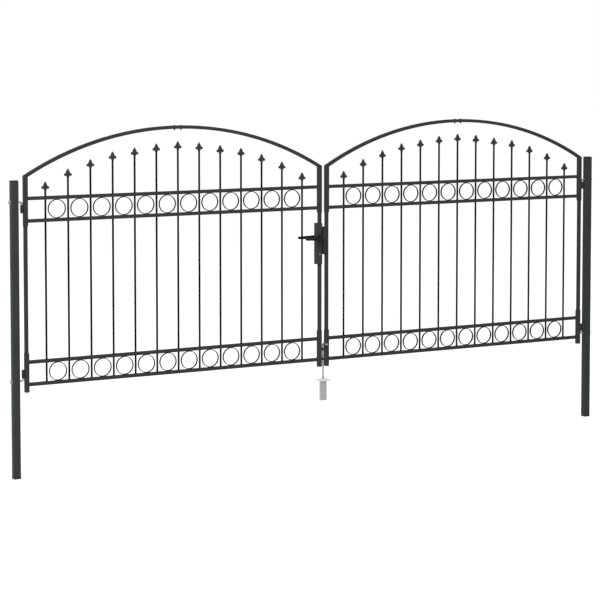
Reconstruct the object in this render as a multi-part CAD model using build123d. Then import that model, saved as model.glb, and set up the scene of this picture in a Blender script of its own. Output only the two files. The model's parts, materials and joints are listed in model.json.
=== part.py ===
from build123d import *
import math
import os

# Arched double-leaf driveway gate of black steel tube, with its two hinge posts.
# Millimetres. The origin is the centre of the left post's foot, +X runs to the
# right post, +Z is up and -Y is the side that carries the drop bolt's handle.

# Overall sizes
OVERALL_WIDTH = 4000.0
HINGE_GAP = 34.7
MEETING_GAP = 28.0

# Posts of square tube with a closed foot and a push-in cap; their rise is over the upper hook
LEFT_POST_RISE = 125.0
RIGHT_POST_RISE = 149.0
POST_WIDTH = 42.0
POST_WALL = 2.0
POST_FOOT_PLATE = 3.0
POST_CORNER = 3.0
CAP_FLANGE = 4.0
CAP_EDGE = 1.5
CAP_SPIGOT = 18.0
CAP_FIT = 0.2
STRIKE_SLOT_WIDTH = 14.0
STRIKE_SLOT_LENGTHS = (20.0, 12.0)
STRIKE_SLOT_GAP = 6.0
STRIKE_SLOT_RISE = 76.0

# Heights of the leaf above the posts' feet, and its tubes
BOTTOM_RAIL_HEIGHT = 534.0
BAND_HEIGHT = 128.0
FIELD_HEIGHT = 806.0
STILE_FOOT_DROP = 45.0
STILE = 20.0
STILE_WALL = 1.5
SLEEVE = 25.0
SLEEVE_WALL = 1.5
SLEEVE_REACH = 31.0
SLEEVE_TAPER = 8.0
SLEEVE_LAP = 60.0
SLEEVE_FIT = 0.1
RAIL = 20.0
PLUG_FLANGE = 3.0
PLUG_SPIGOT = 15.0
PLUG_FIT = 0.2
PLUG_EDGE = 2.0

# Arched top tube in two halves, bolted together at the crown
ARCH_TUBE = 20.0
ARCH_SPRING = 130.0
ARCH_RISE = 265.0
SPLICE_BOLT_SPACING = 42.0
SPLICE_BOLT = 6.0
SPLICE_HEAD = 11.0
SPLICE_HEAD_HEIGHT = 4.0
SPLICE_NUT = 11.0
SPLICE_NUT_HEIGHT = 6.0
SPLICE_FIT = 0.3
SPLICE_SIDES = 8
SPLICE_NUT_SIDES = 6

# Upright bars with spear finials, and the rings between them
BAR_SPACING = 137.0
BAR = 12.0
BAR_SIDES = 8
BAR_FIT = 0.3
END_BAY = 120.7
SPEAR_CROWN = 302.0
SPEAR_DROP = 210.0
SPEAR_DROP_SHARES = (0.0, 0.048, 0.143, 0.238, 0.429, 0.667, 1.0)
SPEAR_HEIGHT = 46.0
SPEAR_WIDTH = 46.0
SPEAR_THICKNESS = 8.0
SPEAR_LOBE = 15.0
SPEAR_LOBE_SIDES = 6
SPEAR_LOBE_HEIGHT = 11.0
SPEAR_BLADE = 27.0
SPEAR_SHOULDER = 20.0
RING_SIDES = 10
RING_STRIP = 4.0
RING_DEPTH = 12.0
RING_SEAT = 0.15

# Hook hinges: the upper hook points down and the lower one up
HOOK = 12.0
HOOK_SIDES = 8
HOOK_BEND = 14.0
HOOK_TAIL = 13.0
HOOK_FIT = 0.3
UPPER_HOOK_DROP = 20.0
LOWER_HOOK_DROP = 105.0
BARREL = 18.0
BARREL_SIDES = 12
BARREL_LENGTH = 46.0
BARREL_SEAT_WIDTH = 10.0
UPPER_BARREL_DROP = 59.0
LOWER_BARREL_DROP = 65.0
HOOK_PIN_END = 2.0

# Lock on the left leaf's meeting stile, with its keeper on the right leaf
LOCK_DROP = 62.0
LOCK_HEIGHT = 252.0
LOCK_WIDTH = 38.0
LOCK_DEPTH = 40.0
LOCK_EDGE = 2.0
FACEPLATE = 3.0
FACEPLATE_DEPTH = 24.0
FACEPLATE_HEIGHT = 165.0
FACEPLATE_FOOT = 61.0
LATCH_DEPTH = 14.0
LATCH_HEIGHT = 24.0
LATCH_RISE = 88.0
DEADBOLT_HEIGHT = 34.0
DEADBOLT_RISE = 18.0
SPINDLE_RISE = 160.0
SPINDLE = 8.0
SPINDLE_HOLE = 12.0
SPINDLE_FIT = 0.1
ROSE = 34.0
ROSE_SIDES = 16
ROSE_THICKNESS = 6.0
ROSE_EDGE = 1.5
NECK = 16.0
NECK_FIT = 0.3
LEVER_STANDOFF = 46.0
LEVER_THICKNESS = 12.0
LEVER_LENGTH = 112.0
LEVER_ROOT = 24.0
LEVER_TIP = 16.0
LEVER_EDGE = 3.0
LEVER_END_STEPS = 6
SPINDLE_SOCKET = 18.0
CYLINDER_RISE = 63.0
CYLINDER = 17.0
CYLINDER_SIDES = 16
CYLINDER_PROUD = 3.0
CYLINDER_FIT = 0.2
KEEPER_FOOT = 59.0
KEEPER_HEIGHT = 169.0
KEEPER_DEPTH = 30.0
KEEPER_POCKET = 14.0
KEEPER_POCKET_DEPTH = 18.0
KEEPER_POCKET_MARGIN = 14.0
RUNNING_GAP = 5.0

# Drop bolt on the right leaf's meeting stile, and its socket in the ground
ROD = 12.0
ROD_SIDES = 8
ROD_STANDOFF = 11.0
ROD_BEND = 10.0
ROD_HANDLE = 52.0
ROD_HANDLE_RISE = 97.0
ROD_FIT = 0.3
GUIDE_WALL = 3.0
GUIDE_BORE_SIDES = 12
GUIDE_DEPTH = 20.0
UPPER_GUIDE_RISE = 55.0
LOWER_GUIDE_DROP = 6.0
GUIDE_HEIGHT = 14.0
SOCKET_DROP = 77.0
SOCKET_CLEARANCE = 0.4
SOCKET_PLATE_LENGTH = 84.0
SOCKET_PLATE_WIDTH = 70.0
SOCKET_PLATE = 4.0
SOCKET_PLATE_CORNER = 6.0
SOCKET_COLLAR = 36.0
SOCKET_COLLAR_HEIGHT = 5.0
SOCKET_COLLAR_EDGE = 2.0
SOCKET_COLLAR_SIDES = 16
SOCKET_HOLE_FIT = 0.6
SOCKET_EAR_HOLE = 9.0
SOCKET_EAR_INSET = 14.0
SOCKET_TUBE_WIDTH = 40.0
SOCKET_TUBE_DEPTH = 25.0
SOCKET_TUBE_WALL = 2.0
SOCKET_TUBE_LENGTH = 124.0

# One overrun serves all cuts
OVERRUN = 10.0

# Places worked out from the sizes above, for the left leaf
MIDDLE = (OVERALL_WIDTH - POST_WIDTH) / 2
HINGE_STILE_X = POST_WIDTH / 2 + HINGE_GAP + STILE / 2
MEETING_STILE_X = MIDDLE - MEETING_GAP / 2 - STILE / 2
LEAF_MIDDLE = (HINGE_STILE_X + MEETING_STILE_X) / 2
BAR_SPAN = MEETING_STILE_X - HINGE_STILE_X - 2 * END_BAY
BAY_COUNT = round(BAR_SPAN / BAR_SPACING)
BAR_PITCH = BAR_SPAN / BAY_COUNT
BAR_PLACES = [HINGE_STILE_X + END_BAY + BAR_PITCH * n for n in range(BAY_COUNT + 1)]
RING_PLACES = [place + BAR_PITCH / 2 for place in BAR_PLACES[:-1]]
THIRD_RAIL_HEIGHT = BOTTOM_RAIL_HEIGHT + BAND_HEIGHT
SECOND_RAIL_HEIGHT = THIRD_RAIL_HEIGHT + FIELD_HEIGHT
TOP_RAIL_HEIGHT = SECOND_RAIL_HEIGHT + BAND_HEIGHT
STILE_FOOT = BOTTOM_RAIL_HEIGHT - STILE_FOOT_DROP
UPPER_SLEEVE_END = SECOND_RAIL_HEIGHT - SLEEVE_REACH
LOWER_SLEEVE_END = THIRD_RAIL_HEIGHT + SLEEVE_REACH
# A sleeve bears on its stile at the leaf's outer edge and stands proud inwards.
SLEEVE_OUTER = STILE / 2 + SLEEVE_WALL
SLEEVE_INNER = SLEEVE - SLEEVE_OUTER
HALF_LEAF = LEAF_MIDDLE - HINGE_STILE_X + SLEEVE_OUTER
HINGE_AXIS_X = HINGE_STILE_X - SLEEVE_OUTER - BARREL / 2
UPPER_BARREL_HEIGHT = TOP_RAIL_HEIGHT - UPPER_BARREL_DROP
LOWER_BARREL_HEIGHT = THIRD_RAIL_HEIGHT - LOWER_BARREL_DROP
UPPER_HOOK_HEIGHT = TOP_RAIL_HEIGHT - UPPER_HOOK_DROP
LOWER_HOOK_HEIGHT = THIRD_RAIL_HEIGHT - LOWER_HOOK_DROP
ARCH_CORNER = TOP_RAIL_HEIGHT + ARCH_SPRING
ARCH_CROWN = ARCH_CORNER + ARCH_RISE
ARCH_RADIUS = (HALF_LEAF**2 + ARCH_RISE**2) / (2 * ARCH_RISE)
ARCH_CENTRE = ARCH_CROWN - ARCH_RADIUS
LEFT_POST_HEIGHT = UPPER_HOOK_HEIGHT + LEFT_POST_RISE
RIGHT_POST_HEIGHT = UPPER_HOOK_HEIGHT + RIGHT_POST_RISE
LOCK_X = MEETING_STILE_X + STILE / 2 - LOCK_WIDTH / 2
LOCK_FOOT_HEIGHT = UPPER_SLEEVE_END - LOCK_DROP - LOCK_HEIGHT
SPINDLE_HEIGHT = LOCK_FOOT_HEIGHT + SPINDLE_RISE
CYLINDER_HEIGHT = LOCK_FOOT_HEIGHT + CYLINDER_RISE
FACEPLATE_X = MEETING_STILE_X + STILE / 2
KEEPER_REACH = MEETING_GAP - FACEPLATE - RUNNING_GAP
RIGHT_SLEEVE_FACE = 2 * MIDDLE - MEETING_STILE_X - SLEEVE_OUTER
RIGHT_STILE_FACE = 2 * MIDDLE - MEETING_STILE_X - STILE / 2
ROD_X = RIGHT_SLEEVE_FACE - ROD_STANDOFF
ROD_HANDLE_HEIGHT = BOTTOM_RAIL_HEIGHT + ROD_HANDLE_RISE
UPPER_GUIDE_FOOT = BOTTOM_RAIL_HEIGHT + UPPER_GUIDE_RISE
LOWER_GUIDE_FOOT = BOTTOM_RAIL_HEIGHT - LOWER_GUIDE_DROP
SOCKET_HEIGHT = STILE_FOOT - SOCKET_DROP

# A box stands on its base at the point that places it.
STANDING = (Align.CENTER, Align.CENTER, Align.MIN)


def block(low, high):
    """A box between two opposite corners."""
    size = [b - a for a, b in zip(low, high)]
    middle = [(a + b) / 2 for a, b in zip(low, high)]
    return Pos(*middle) * Box(*size)


def rod_along(direction, start, length, diameter):
    """A round bar of a given length from a start point along a direction."""
    place = Plane(origin=start, z_dir=direction)
    return place * Cylinder(diameter / 2, length, align=STANDING)


def prism_along(direction, start, length, diameter, sides):
    """A bar with flat sides inside a given diameter, from a start point along a direction."""
    place = Plane(origin=start, z_dir=direction)
    return extrude(place * RegularPolygon(diameter / 2, sides), length)


def bore_along(direction, start, length, diameter, sides):
    """A hole with flat sides outside a given diameter, so that a round bar of that size fits."""
    place = Plane(origin=start, z_dir=direction)
    return extrude(place * RegularPolygon(diameter / 2, sides, major_radius=False), length)


def slab_of(profile, thickness):
    """A flat profile drawn in X and Z, made solid equally to both sides of the gate's plane."""
    return extrude(profile, amount=thickness / 2, dir=(0, 1, 0), both=True)


def mirrored(shape):
    """The same piece on the other leaf."""
    return mirror(shape, about=Plane.YZ.offset(MIDDLE))


def same_leaf(shape):
    return shape


# Posts


def make_post(height, slotted):
    """A tube with a closed foot, holes for the two hooks, and strike slots on the slotted post."""
    tube_height = height - CAP_FLANGE
    tube = Box(POST_WIDTH, POST_WIDTH, tube_height, align=STANDING)
    tube = chamfer(tube.edges().filter_by(Axis.Z), POST_CORNER)
    inside = POST_WIDTH - 2 * POST_WALL
    hollow = Box(inside, inside, tube_height, align=STANDING)
    tube -= Pos(0, 0, POST_FOOT_PLATE) * hollow
    for hook_height in (UPPER_HOOK_HEIGHT, LOWER_HOOK_HEIGHT):
        start = (-POST_WIDTH / 2 - OVERRUN, 0, hook_height)
        bore = HOOK + 2 * HOOK_FIT
        tube -= prism_along((1, 0, 0), start, POST_WIDTH + 2 * OVERRUN, bore, HOOK_SIDES)
    if slotted:
        foot = LOCK_FOOT_HEIGHT + STRIKE_SLOT_RISE
        for length in STRIKE_SLOT_LENGTHS:
            low = (-POST_WIDTH / 2 - OVERRUN, -STRIKE_SLOT_WIDTH / 2, foot)
            high = (-POST_WIDTH / 2 + POST_WALL + CAP_FIT, STRIKE_SLOT_WIDTH / 2, foot + length)
            tube -= block(low, high)
            foot += length + STRIKE_SLOT_GAP
    return tube


def make_post_cap(height):
    """A flat cap with a softened top edge and a spigot in the tube."""
    flange = Box(POST_WIDTH, POST_WIDTH, CAP_FLANGE, align=STANDING)
    flange = chamfer(flange.edges().filter_by(Axis.Z), POST_CORNER)
    flange = chamfer(flange.faces().sort_by(Axis.Z)[-1].edges(), CAP_EDGE)
    width = POST_WIDTH - 2 * POST_WALL - 2 * CAP_FIT
    spigot = Pos(0, 0, -CAP_SPIGOT) * Box(width, width, CAP_SPIGOT, align=STANDING)
    return Pos(0, 0, height - CAP_FLANGE) * (flange + spigot)


def make_hook(height, way):
    """A threaded shank through the post that bends into the hinge pin, up or down."""
    start = (-POST_WIDTH / 2 - HOOK_TAIL, 0, height)
    corner = (HINGE_AXIS_X, 0, height)
    barrel = UPPER_BARREL_HEIGHT if way < 0 else LOWER_BARREL_HEIGHT
    end = (HINGE_AXIS_X, 0, barrel + way * (BARREL_LENGTH / 2 - HOOK_PIN_END))
    path = FilletPolyline(start, corner, end, radius=HOOK_BEND)
    section = Plane(origin=start, z_dir=(1, 0, 0)) * RegularPolygon(HOOK / 2, HOOK_SIDES)
    return sweep(section, path=path)


def make_hooks():
    return Compound(
        children=[make_hook(UPPER_HOOK_HEIGHT, -1), make_hook(LOWER_HOOK_HEIGHT, 1)]
    )


def make_ground_socket():
    """A plate with a round collar and a square mouth for the rod, and a tube that is set in the ground."""
    plate = Box(SOCKET_PLATE_LENGTH, SOCKET_PLATE_WIDTH, SOCKET_PLATE, align=STANDING)
    plate = chamfer(plate.edges().filter_by(Axis.Z), SOCKET_PLATE_CORNER)
    plate_top = (0, 0, SOCKET_PLATE)
    collar = prism_along((0, 0, 1), plate_top, SOCKET_COLLAR_HEIGHT, SOCKET_COLLAR, SOCKET_COLLAR_SIDES)
    collar = chamfer(collar.faces().sort_by(Axis.Z)[-1].edges(), SOCKET_COLLAR_EDGE)
    tube = Box(SOCKET_TUBE_WIDTH, SOCKET_TUBE_DEPTH, SOCKET_TUBE_LENGTH, align=STANDING)
    tube -= Box(
        SOCKET_TUBE_WIDTH - 2 * SOCKET_TUBE_WALL,
        SOCKET_TUBE_DEPTH - 2 * SOCKET_TUBE_WALL,
        SOCKET_TUBE_LENGTH,
        align=STANDING,
    )
    socket = plate + collar + Pos(0, 0, -SOCKET_TUBE_LENGTH) * tube
    mouth = ROD + 2 * SOCKET_HOLE_FIT
    rim = SOCKET_PLATE + SOCKET_COLLAR_HEIGHT
    socket -= Box(mouth, mouth, rim, align=STANDING)
    foot = -SOCKET_TUBE_LENGTH - OVERRUN
    through = SOCKET_TUBE_LENGTH + rim + 2 * OVERRUN
    ear = SOCKET_PLATE_LENGTH / 2 - SOCKET_EAR_INSET
    for x in (-ear, ear):
        socket -= rod_along((0, 0, 1), (x, 0, foot), through, SOCKET_EAR_HOLE)
    return Pos(ROD_X, 0, SOCKET_HEIGHT - rim) * socket


# Leaf frame


def make_stile(x, spans):
    """The thin square tube of one edge of the leaf, in one or more lengths."""
    bore = STILE - 2 * STILE_WALL
    lengths = []
    for foot, top in spans:
        tube = Box(STILE, STILE, top - foot, align=STANDING)
        tube -= Box(bore, bore, top - foot, align=STANDING)
        lengths.append(Pos(x, 0, foot) * tube)
    return lengths[0] if len(lengths) == 1 else Compound(children=lengths)


def arch_corner_points():
    """The outer and inner ends of the joint where the arch meets the hinge-side sleeve."""
    outer = (LEAF_MIDDLE - HALF_LEAF, ARCH_CORNER)
    reach = HALF_LEAF - SLEEVE
    rise = math.sqrt((ARCH_RADIUS - ARCH_TUBE) ** 2 - reach**2)
    inner = (LEAF_MIDDLE - reach, ARCH_CENTRE + rise)
    return outer, inner


def joint_height(x):
    """The height of the cut between sleeve and arch at a place across the sleeve."""
    outer, inner = arch_corner_points()
    share = (x - outer[0]) / (inner[0] - outer[0])
    return outer[1] + share * (inner[1] - outer[1])


def joint_on_circle(radius):
    """The point where the cut between sleeve and arch crosses a circle about the arch's centre."""
    outer, inner = arch_corner_points()
    run = inner[0] - outer[0]
    climb = inner[1] - outer[1]
    x = outer[0] - LEAF_MIDDLE
    z = outer[1] - ARCH_CENTRE
    a = run**2 + climb**2
    b = 2 * (x * run + z * climb)
    c = x**2 + z**2 - radius**2
    share = (-b - math.sqrt(b**2 - 4 * a * c)) / (2 * a)
    return outer[0] + share * run, outer[1] + share * climb


def arch_profile():
    """Half of the arch seen from the front, from the sleeve joint to the crown."""

    def on_circle(radius, x):
        return x, 0, ARCH_CENTRE + math.sqrt(radius**2 - (x - LEAF_MIDDLE) ** 2)

    edges = []
    ends = []
    for radius in (ARCH_RADIUS, ARCH_RADIUS - ARCH_TUBE):
        x, z = joint_on_circle(radius)
        start = (x, 0, z)
        end = on_circle(radius, LEAF_MIDDLE)
        between = on_circle(radius, (x + LEAF_MIDDLE) / 2)
        edges.append(ThreePointArc(start, between, end))
        ends.append((start, end))
    edges.append(Line(ends[0][0], ends[1][0]))
    edges.append(Line(ends[0][1], ends[1][1]))
    return make_face(edges)


def make_arch_half():
    """The hinge-side half of the arch: a curved square tube, cut at the sleeve and at the crown."""
    tube = slab_of(arch_profile(), ARCH_TUBE)
    start = (LEAF_MIDDLE - SPLICE_BOLT_SPACING / 2, 0, ARCH_CROWN - ARCH_TUBE - OVERRUN)
    bolt_hole = SPLICE_BOLT + 2 * SPLICE_FIT
    return tube - prism_along((0, 0, 1), start, ARCH_TUBE + 2 * OVERRUN, bolt_hole, SPLICE_SIDES)


def across_leaf(shape):
    """The same piece at the other end of the same leaf."""
    return mirror(shape, about=Plane.YZ.offset(LEAF_MIDDLE))


def make_splice_bolt():
    """A round-headed bolt down through the arch near the crown, with its nut underneath."""
    x = LEAF_MIDDLE - SPLICE_BOLT_SPACING / 2
    top = ARCH_CENTRE + math.sqrt(ARCH_RADIUS**2 - (SPLICE_BOLT_SPACING / 2) ** 2)
    nut_top = ARCH_CROWN - ARCH_TUBE
    foot = nut_top - SPLICE_NUT_HEIGHT
    up = (0, 0, 1)
    length = top - foot + SPLICE_HEAD_HEIGHT
    shank = prism_along(up, (x, 0, foot), length, SPLICE_BOLT, SPLICE_SIDES)
    head_foot = (x, 0, top + SPLICE_FIT)
    head = prism_along(up, head_foot, SPLICE_HEAD_HEIGHT, SPLICE_HEAD, SPLICE_SIDES)
    head = chamfer(head.faces().sort_by(Axis.Z)[-1].edges(), SPLICE_HEAD_HEIGHT / 2)
    nut_foot = (x, 0, foot - SPLICE_FIT)
    nut = prism_along(up, nut_foot, SPLICE_NUT_HEIGHT, SPLICE_NUT, SPLICE_NUT_SIDES)
    return shank + head + nut


def make_splice_bolts():
    bolt = make_splice_bolt()
    return Compound(children=[bolt, across_leaf(bolt)])


def make_upper_sleeve():
    """The thick upper length of the hinge stile, cut to the arch and swaged onto the thin stile."""
    outer, inner = arch_corner_points()
    outer_x = outer[0]
    inner_x = inner[0]
    foot = UPPER_SLEEVE_END
    swage = STILE + 2 * SLEEVE_FIT
    shell = make_face(
        Polyline(
            (outer_x, 0, foot + SLEEVE_TAPER),
            (inner_x, 0, foot + SLEEVE_TAPER),
            (inner_x, 0, inner[1]),
            (outer_x, 0, outer[1]),
            close=True,
        )
    )
    near = outer_x + SLEEVE_WALL
    far = inner_x - SLEEVE_WALL
    bore = make_face(
        Polyline(
            (near, 0, foot + SLEEVE_TAPER),
            (far, 0, foot + SLEEVE_TAPER),
            (far, 0, joint_height(far)),
            (near, 0, joint_height(near)),
            close=True,
        )
    )
    tube = slab_of(shell, SLEEVE) - slab_of(bore, SLEEVE - 2 * SLEEVE_WALL)
    taper = sleeve_taper(foot, foot + SLEEVE_TAPER)
    hole = Pos(HINGE_STILE_X, 0, foot) * Box(STILE, swage, SLEEVE_TAPER, align=STANDING)
    return tube + (taper - hole)


def sleeve_taper(end, start):
    """The end of a sleeve, drawn down from its full section to a thin lip around the stile."""
    outer_x = HINGE_STILE_X - SLEEVE_OUTER
    middle = outer_x + SLEEVE / 2
    lip = STILE + 2 * SLEEVE_WALL
    full = Plane(origin=(middle, 0, start)) * Rectangle(SLEEVE, SLEEVE)
    lip_place = Plane(origin=(outer_x + lip / 2, 0, end))
    thin = lip_place * Rectangle(lip, lip)
    return loft([full, thin] if start < end else [thin, full])


def make_lower_sleeve():
    """The thick lower length of the hinge stile, from its foot plug to above the third rail."""
    foot = STILE_FOOT + PLUG_FLANGE
    top = LOWER_SLEEVE_END - SLEEVE_TAPER
    middle = HINGE_STILE_X - SLEEVE_OUTER + SLEEVE / 2
    bore = SLEEVE - 2 * SLEEVE_WALL
    swage = STILE + 2 * SLEEVE_FIT
    tube = Box(SLEEVE, SLEEVE, top - foot, align=STANDING)
    tube -= Box(bore, bore, top - foot, align=STANDING)
    taper = sleeve_taper(LOWER_SLEEVE_END, top)
    hole = Pos(HINGE_STILE_X, 0, top) * Box(STILE, swage, SLEEVE_TAPER, align=STANDING)
    return Pos(middle, 0, foot) * tube + (taper - hole)


def make_foot_plug():
    """A push-in plug with a rounded flange that closes the foot of a stile."""
    middle = HINGE_STILE_X - SLEEVE_OUTER + SLEEVE / 2
    flange = Box(SLEEVE, SLEEVE, PLUG_FLANGE, align=STANDING)
    flange = chamfer(flange.faces().sort_by(Axis.Z)[0].edges(), PLUG_EDGE)
    width = SLEEVE - 2 * SLEEVE_WALL - 2 * PLUG_FIT
    spigot = Pos(0, 0, PLUG_FLANGE) * Box(width, width, PLUG_SPIGOT, align=STANDING)
    return Pos(middle, 0, STILE_FOOT) * (flange + spigot)


def both_ends(shape):
    """One piece at each end of the leaf, in a single node."""
    return Compound(children=[shape, across_leaf(shape)])


def make_rail(height, holed):
    """A rail between the sleeves, with a hole for each bar where the bars pass through it."""
    start = HINGE_STILE_X + SLEEVE_INNER
    end = MEETING_STILE_X - SLEEVE_INNER
    rail = block((start, -RAIL / 2, height - RAIL / 2), (end, RAIL / 2, height + RAIL / 2))
    if holed:
        for x in BAR_PLACES:
            place = Plane(origin=(x, 0, height - RAIL / 2 - OVERRUN))
            hole = place * RegularPolygon(BAR / 2 + BAR_FIT, BAR_SIDES, major_radius=False)
            rail -= extrude(hole, RAIL + 2 * OVERRUN)
    return rail


def make_rails(lower_height, upper_height, lower_holed):
    return Compound(
        children=[make_rail(lower_height, lower_holed), make_rail(upper_height, True)]
    )


# Infill


def spear_tip_height(x):
    """The spear tips step down from the middle of the leaf to both its ends."""
    last_step = len(SPEAR_DROP_SHARES) - 1
    place = last_step * abs(x - LEAF_MIDDLE) / (LEAF_MIDDLE - BAR_PLACES[0])
    step = min(int(place), last_step - 1)
    near_share, far_share = SPEAR_DROP_SHARES[step : step + 2]
    share = near_share + (far_share - near_share) * (place - step)
    return TOP_RAIL_HEIGHT + SPEAR_CROWN - SPEAR_DROP * share


def make_bars():
    """Upright bars that stand on the bottom rail and pass through the other three."""
    foot = BOTTOM_RAIL_HEIGHT + RAIL / 2
    bars = []
    for x in BAR_PLACES:
        section = Plane(origin=(x, 0, foot)) * RegularPolygon(BAR / 2, BAR_SIDES, major_radius=False)
        bars.append(extrude(section, spear_tip_height(x) - SPEAR_HEIGHT - foot))
    return Compound(children=bars)


def make_spear():
    """A flat spear head with a pointed blade over two round side lobes, standing on its base."""
    lobe_x = SPEAR_WIDTH / 2 - SPEAR_LOBE / 2
    half = SPEAR_BLADE / 2
    blade = make_face(
        [
            Line((-BAR / 2, 0, 0), (BAR / 2, 0, 0)),
            Line((BAR / 2, 0, 0), (half, 0, SPEAR_SHOULDER)),
            Line((half, 0, SPEAR_SHOULDER), (0, 0, SPEAR_HEIGHT)),
            Line((0, 0, SPEAR_HEIGHT), (-half, 0, SPEAR_SHOULDER)),
            Line((-half, 0, SPEAR_SHOULDER), (-BAR / 2, 0, 0)),
        ]
    )
    spear = slab_of(blade, SPEAR_THICKNESS)
    for x in (-lobe_x, lobe_x):
        start = (x, -SPEAR_THICKNESS / 2, SPEAR_LOBE_HEIGHT)
        spear += prism_along((0, 1, 0), start, SPEAR_THICKNESS, SPEAR_LOBE, SPEAR_LOBE_SIDES)
    return spear


def make_finials():
    spear = make_spear()
    return Compound(
        children=[Pos(x, 0, spear_tip_height(x) - SPEAR_HEIGHT) * spear for x in BAR_PLACES]
    )


def make_rings(lower_rail_height):
    """Flat-strip rings between two rails, one in each gap between bars, a corner at each rail."""
    outer = (BAND_HEIGHT - RAIL) / 2 - RING_SEAT
    centre = lower_rail_height + BAND_HEIGHT / 2
    rings = []
    for x in RING_PLACES:
        start = (x, -RING_DEPTH / 2, centre)
        disc = prism_along((0, 1, 0), start, RING_DEPTH, 2 * outer, RING_SIDES)
        inside = 2 * (outer - RING_STRIP)
        rings.append(disc - prism_along((0, 1, 0), start, RING_DEPTH, inside, RING_SIDES))
    return Compound(children=rings)


def make_barrel(height):
    """A hinge barrel welded to the sleeve, bored for the hook's pin."""
    foot = (HINGE_AXIS_X, 0, height - BARREL_LENGTH / 2)
    barrel = prism_along((0, 0, 1), foot, BARREL_LENGTH, BARREL, BARREL_SIDES)
    low = (HINGE_AXIS_X, -BARREL_SEAT_WIDTH / 2, height - BARREL_LENGTH / 2)
    high = (HINGE_AXIS_X + BARREL / 2, BARREL_SEAT_WIDTH / 2, height + BARREL_LENGTH / 2)
    barrel += block(low, high)
    return barrel - rod_along((0, 0, 1), foot, BARREL_LENGTH, HOOK + 2 * HOOK_FIT)


def make_barrels():
    return Compound(
        children=[make_barrel(UPPER_BARREL_HEIGHT), make_barrel(LOWER_BARREL_HEIGHT)]
    )


# Lock


def lock_axis(height, reach):
    """The start point and length of what passes through the lock's case at a height."""
    return (LOCK_X, -LOCK_DEPTH / 2 - reach, height), LOCK_DEPTH + 2 * reach


def make_lock_case():
    """The lock's box, flush with the stile's outer face, with its spindle and cylinder holes."""
    case = Box(LOCK_WIDTH, LOCK_DEPTH, LOCK_HEIGHT, align=STANDING)
    case = chamfer(case.edges().filter_by(Axis.Z), LOCK_EDGE)
    case = Pos(LOCK_X, 0, LOCK_FOOT_HEIGHT) * case
    start, length = lock_axis(SPINDLE_HEIGHT, OVERRUN)
    case -= rod_along((0, 1, 0), start, length, SPINDLE_HOLE)
    start, length = lock_axis(CYLINDER_HEIGHT, OVERRUN)
    return case - prism_along((0, 1, 0), start, length, CYLINDER + 2 * CYLINDER_FIT, CYLINDER_SIDES)


def make_key_cylinder():
    """The round key cylinder, a little proud of both faces of the lock's case."""
    start, length = lock_axis(CYLINDER_HEIGHT, CYLINDER_PROUD)
    return prism_along((0, 1, 0), start, length, CYLINDER, CYLINDER_SIDES)


def make_faceplate():
    """The lock's front plate in the gap, with openings for the latch and the deadbolt."""
    foot = LOCK_FOOT_HEIGHT + FACEPLATE_FOOT
    low = (FACEPLATE_X, -FACEPLATE_DEPTH / 2, foot)
    high = (FACEPLATE_X + FACEPLATE, FACEPLATE_DEPTH / 2, foot + FACEPLATE_HEIGHT)
    plate = block(low, high)
    for rise, height in ((LATCH_RISE, LATCH_HEIGHT), (DEADBOLT_RISE, DEADBOLT_HEIGHT)):
        low = (FACEPLATE_X - OVERRUN, -LATCH_DEPTH / 2, foot + rise)
        high = (FACEPLATE_X + FACEPLATE + OVERRUN, LATCH_DEPTH / 2, foot + rise + height)
        plate -= block(low, high)
    return plate


def make_rose(side):
    """The round collar that the lever's neck turns in, on one face of the lock's case."""
    start = (LOCK_X, side * LOCK_DEPTH / 2, SPINDLE_HEIGHT)
    rose = prism_along((0, side, 0), start, ROSE_THICKNESS, ROSE, ROSE_SIDES)
    rose = chamfer(rose.faces().sort_by(Axis.Y)[-1 if side > 0 else 0].edges(), ROSE_EDGE)
    return rose - bore_along((0, side, 0), start, ROSE_THICKNESS, NECK + 2 * NECK_FIT, ROSE_SIDES)


def make_roses():
    return Compound(children=[make_rose(-1), make_rose(1)])


def lever_profile():
    """The grip seen from the front: a large round end on the spindle and a small one at the tip."""
    tip_x = LOCK_X - LEVER_LENGTH + LEVER_TIP / 2
    points = []
    for x, diameter, start in ((tip_x, LEVER_TIP, math.pi / 2), (LOCK_X, LEVER_ROOT, -math.pi / 2)):
        for step in range(LEVER_END_STEPS + 1):
            turn = start + math.pi * step / LEVER_END_STEPS
            reach = diameter / 2 * math.cos(turn)
            rise = diameter / 2 * math.sin(turn)
            points.append((x + reach, 0, SPINDLE_HEIGHT + rise))
    return make_face(Polyline(*points, close=True))


def make_lever(side):
    """A lever handle: a round neck out of the rose and a tapering grip that points into the leaf."""
    grip = extrude(lever_profile(), amount=LEVER_THICKNESS, dir=(0, side, 0))
    grip = chamfer(grip.faces().filter_by(Axis.Y).edges(), LEVER_EDGE)
    grip = Pos(0, side * LEVER_STANDOFF, 0) * grip
    neck_start = LOCK_DEPTH / 2 + NECK_FIT
    neck_length = LEVER_STANDOFF + LEVER_EDGE - neck_start
    start = (LOCK_X, side * neck_start, SPINDLE_HEIGHT)
    neck = prism_along((0, side, 0), start, neck_length, NECK, ROSE_SIDES)
    socket = SPINDLE + 2 * SPINDLE_FIT
    low_y, high_y = sorted((side * neck_start, side * (neck_start + SPINDLE_SOCKET)))
    low = (LOCK_X - socket / 2, low_y, SPINDLE_HEIGHT - socket / 2)
    high = (LOCK_X + socket / 2, high_y, SPINDLE_HEIGHT + socket / 2)
    return grip + neck - block(low, high)


def make_spindle():
    """The square bar that joins the two levers through the lock."""
    reach = LOCK_DEPTH / 2 + SPINDLE_SOCKET
    low = (LOCK_X - SPINDLE / 2, -reach, SPINDLE_HEIGHT - SPINDLE / 2)
    high = (LOCK_X + SPINDLE / 2, reach, SPINDLE_HEIGHT + SPINDLE / 2)
    return block(low, high)


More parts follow.
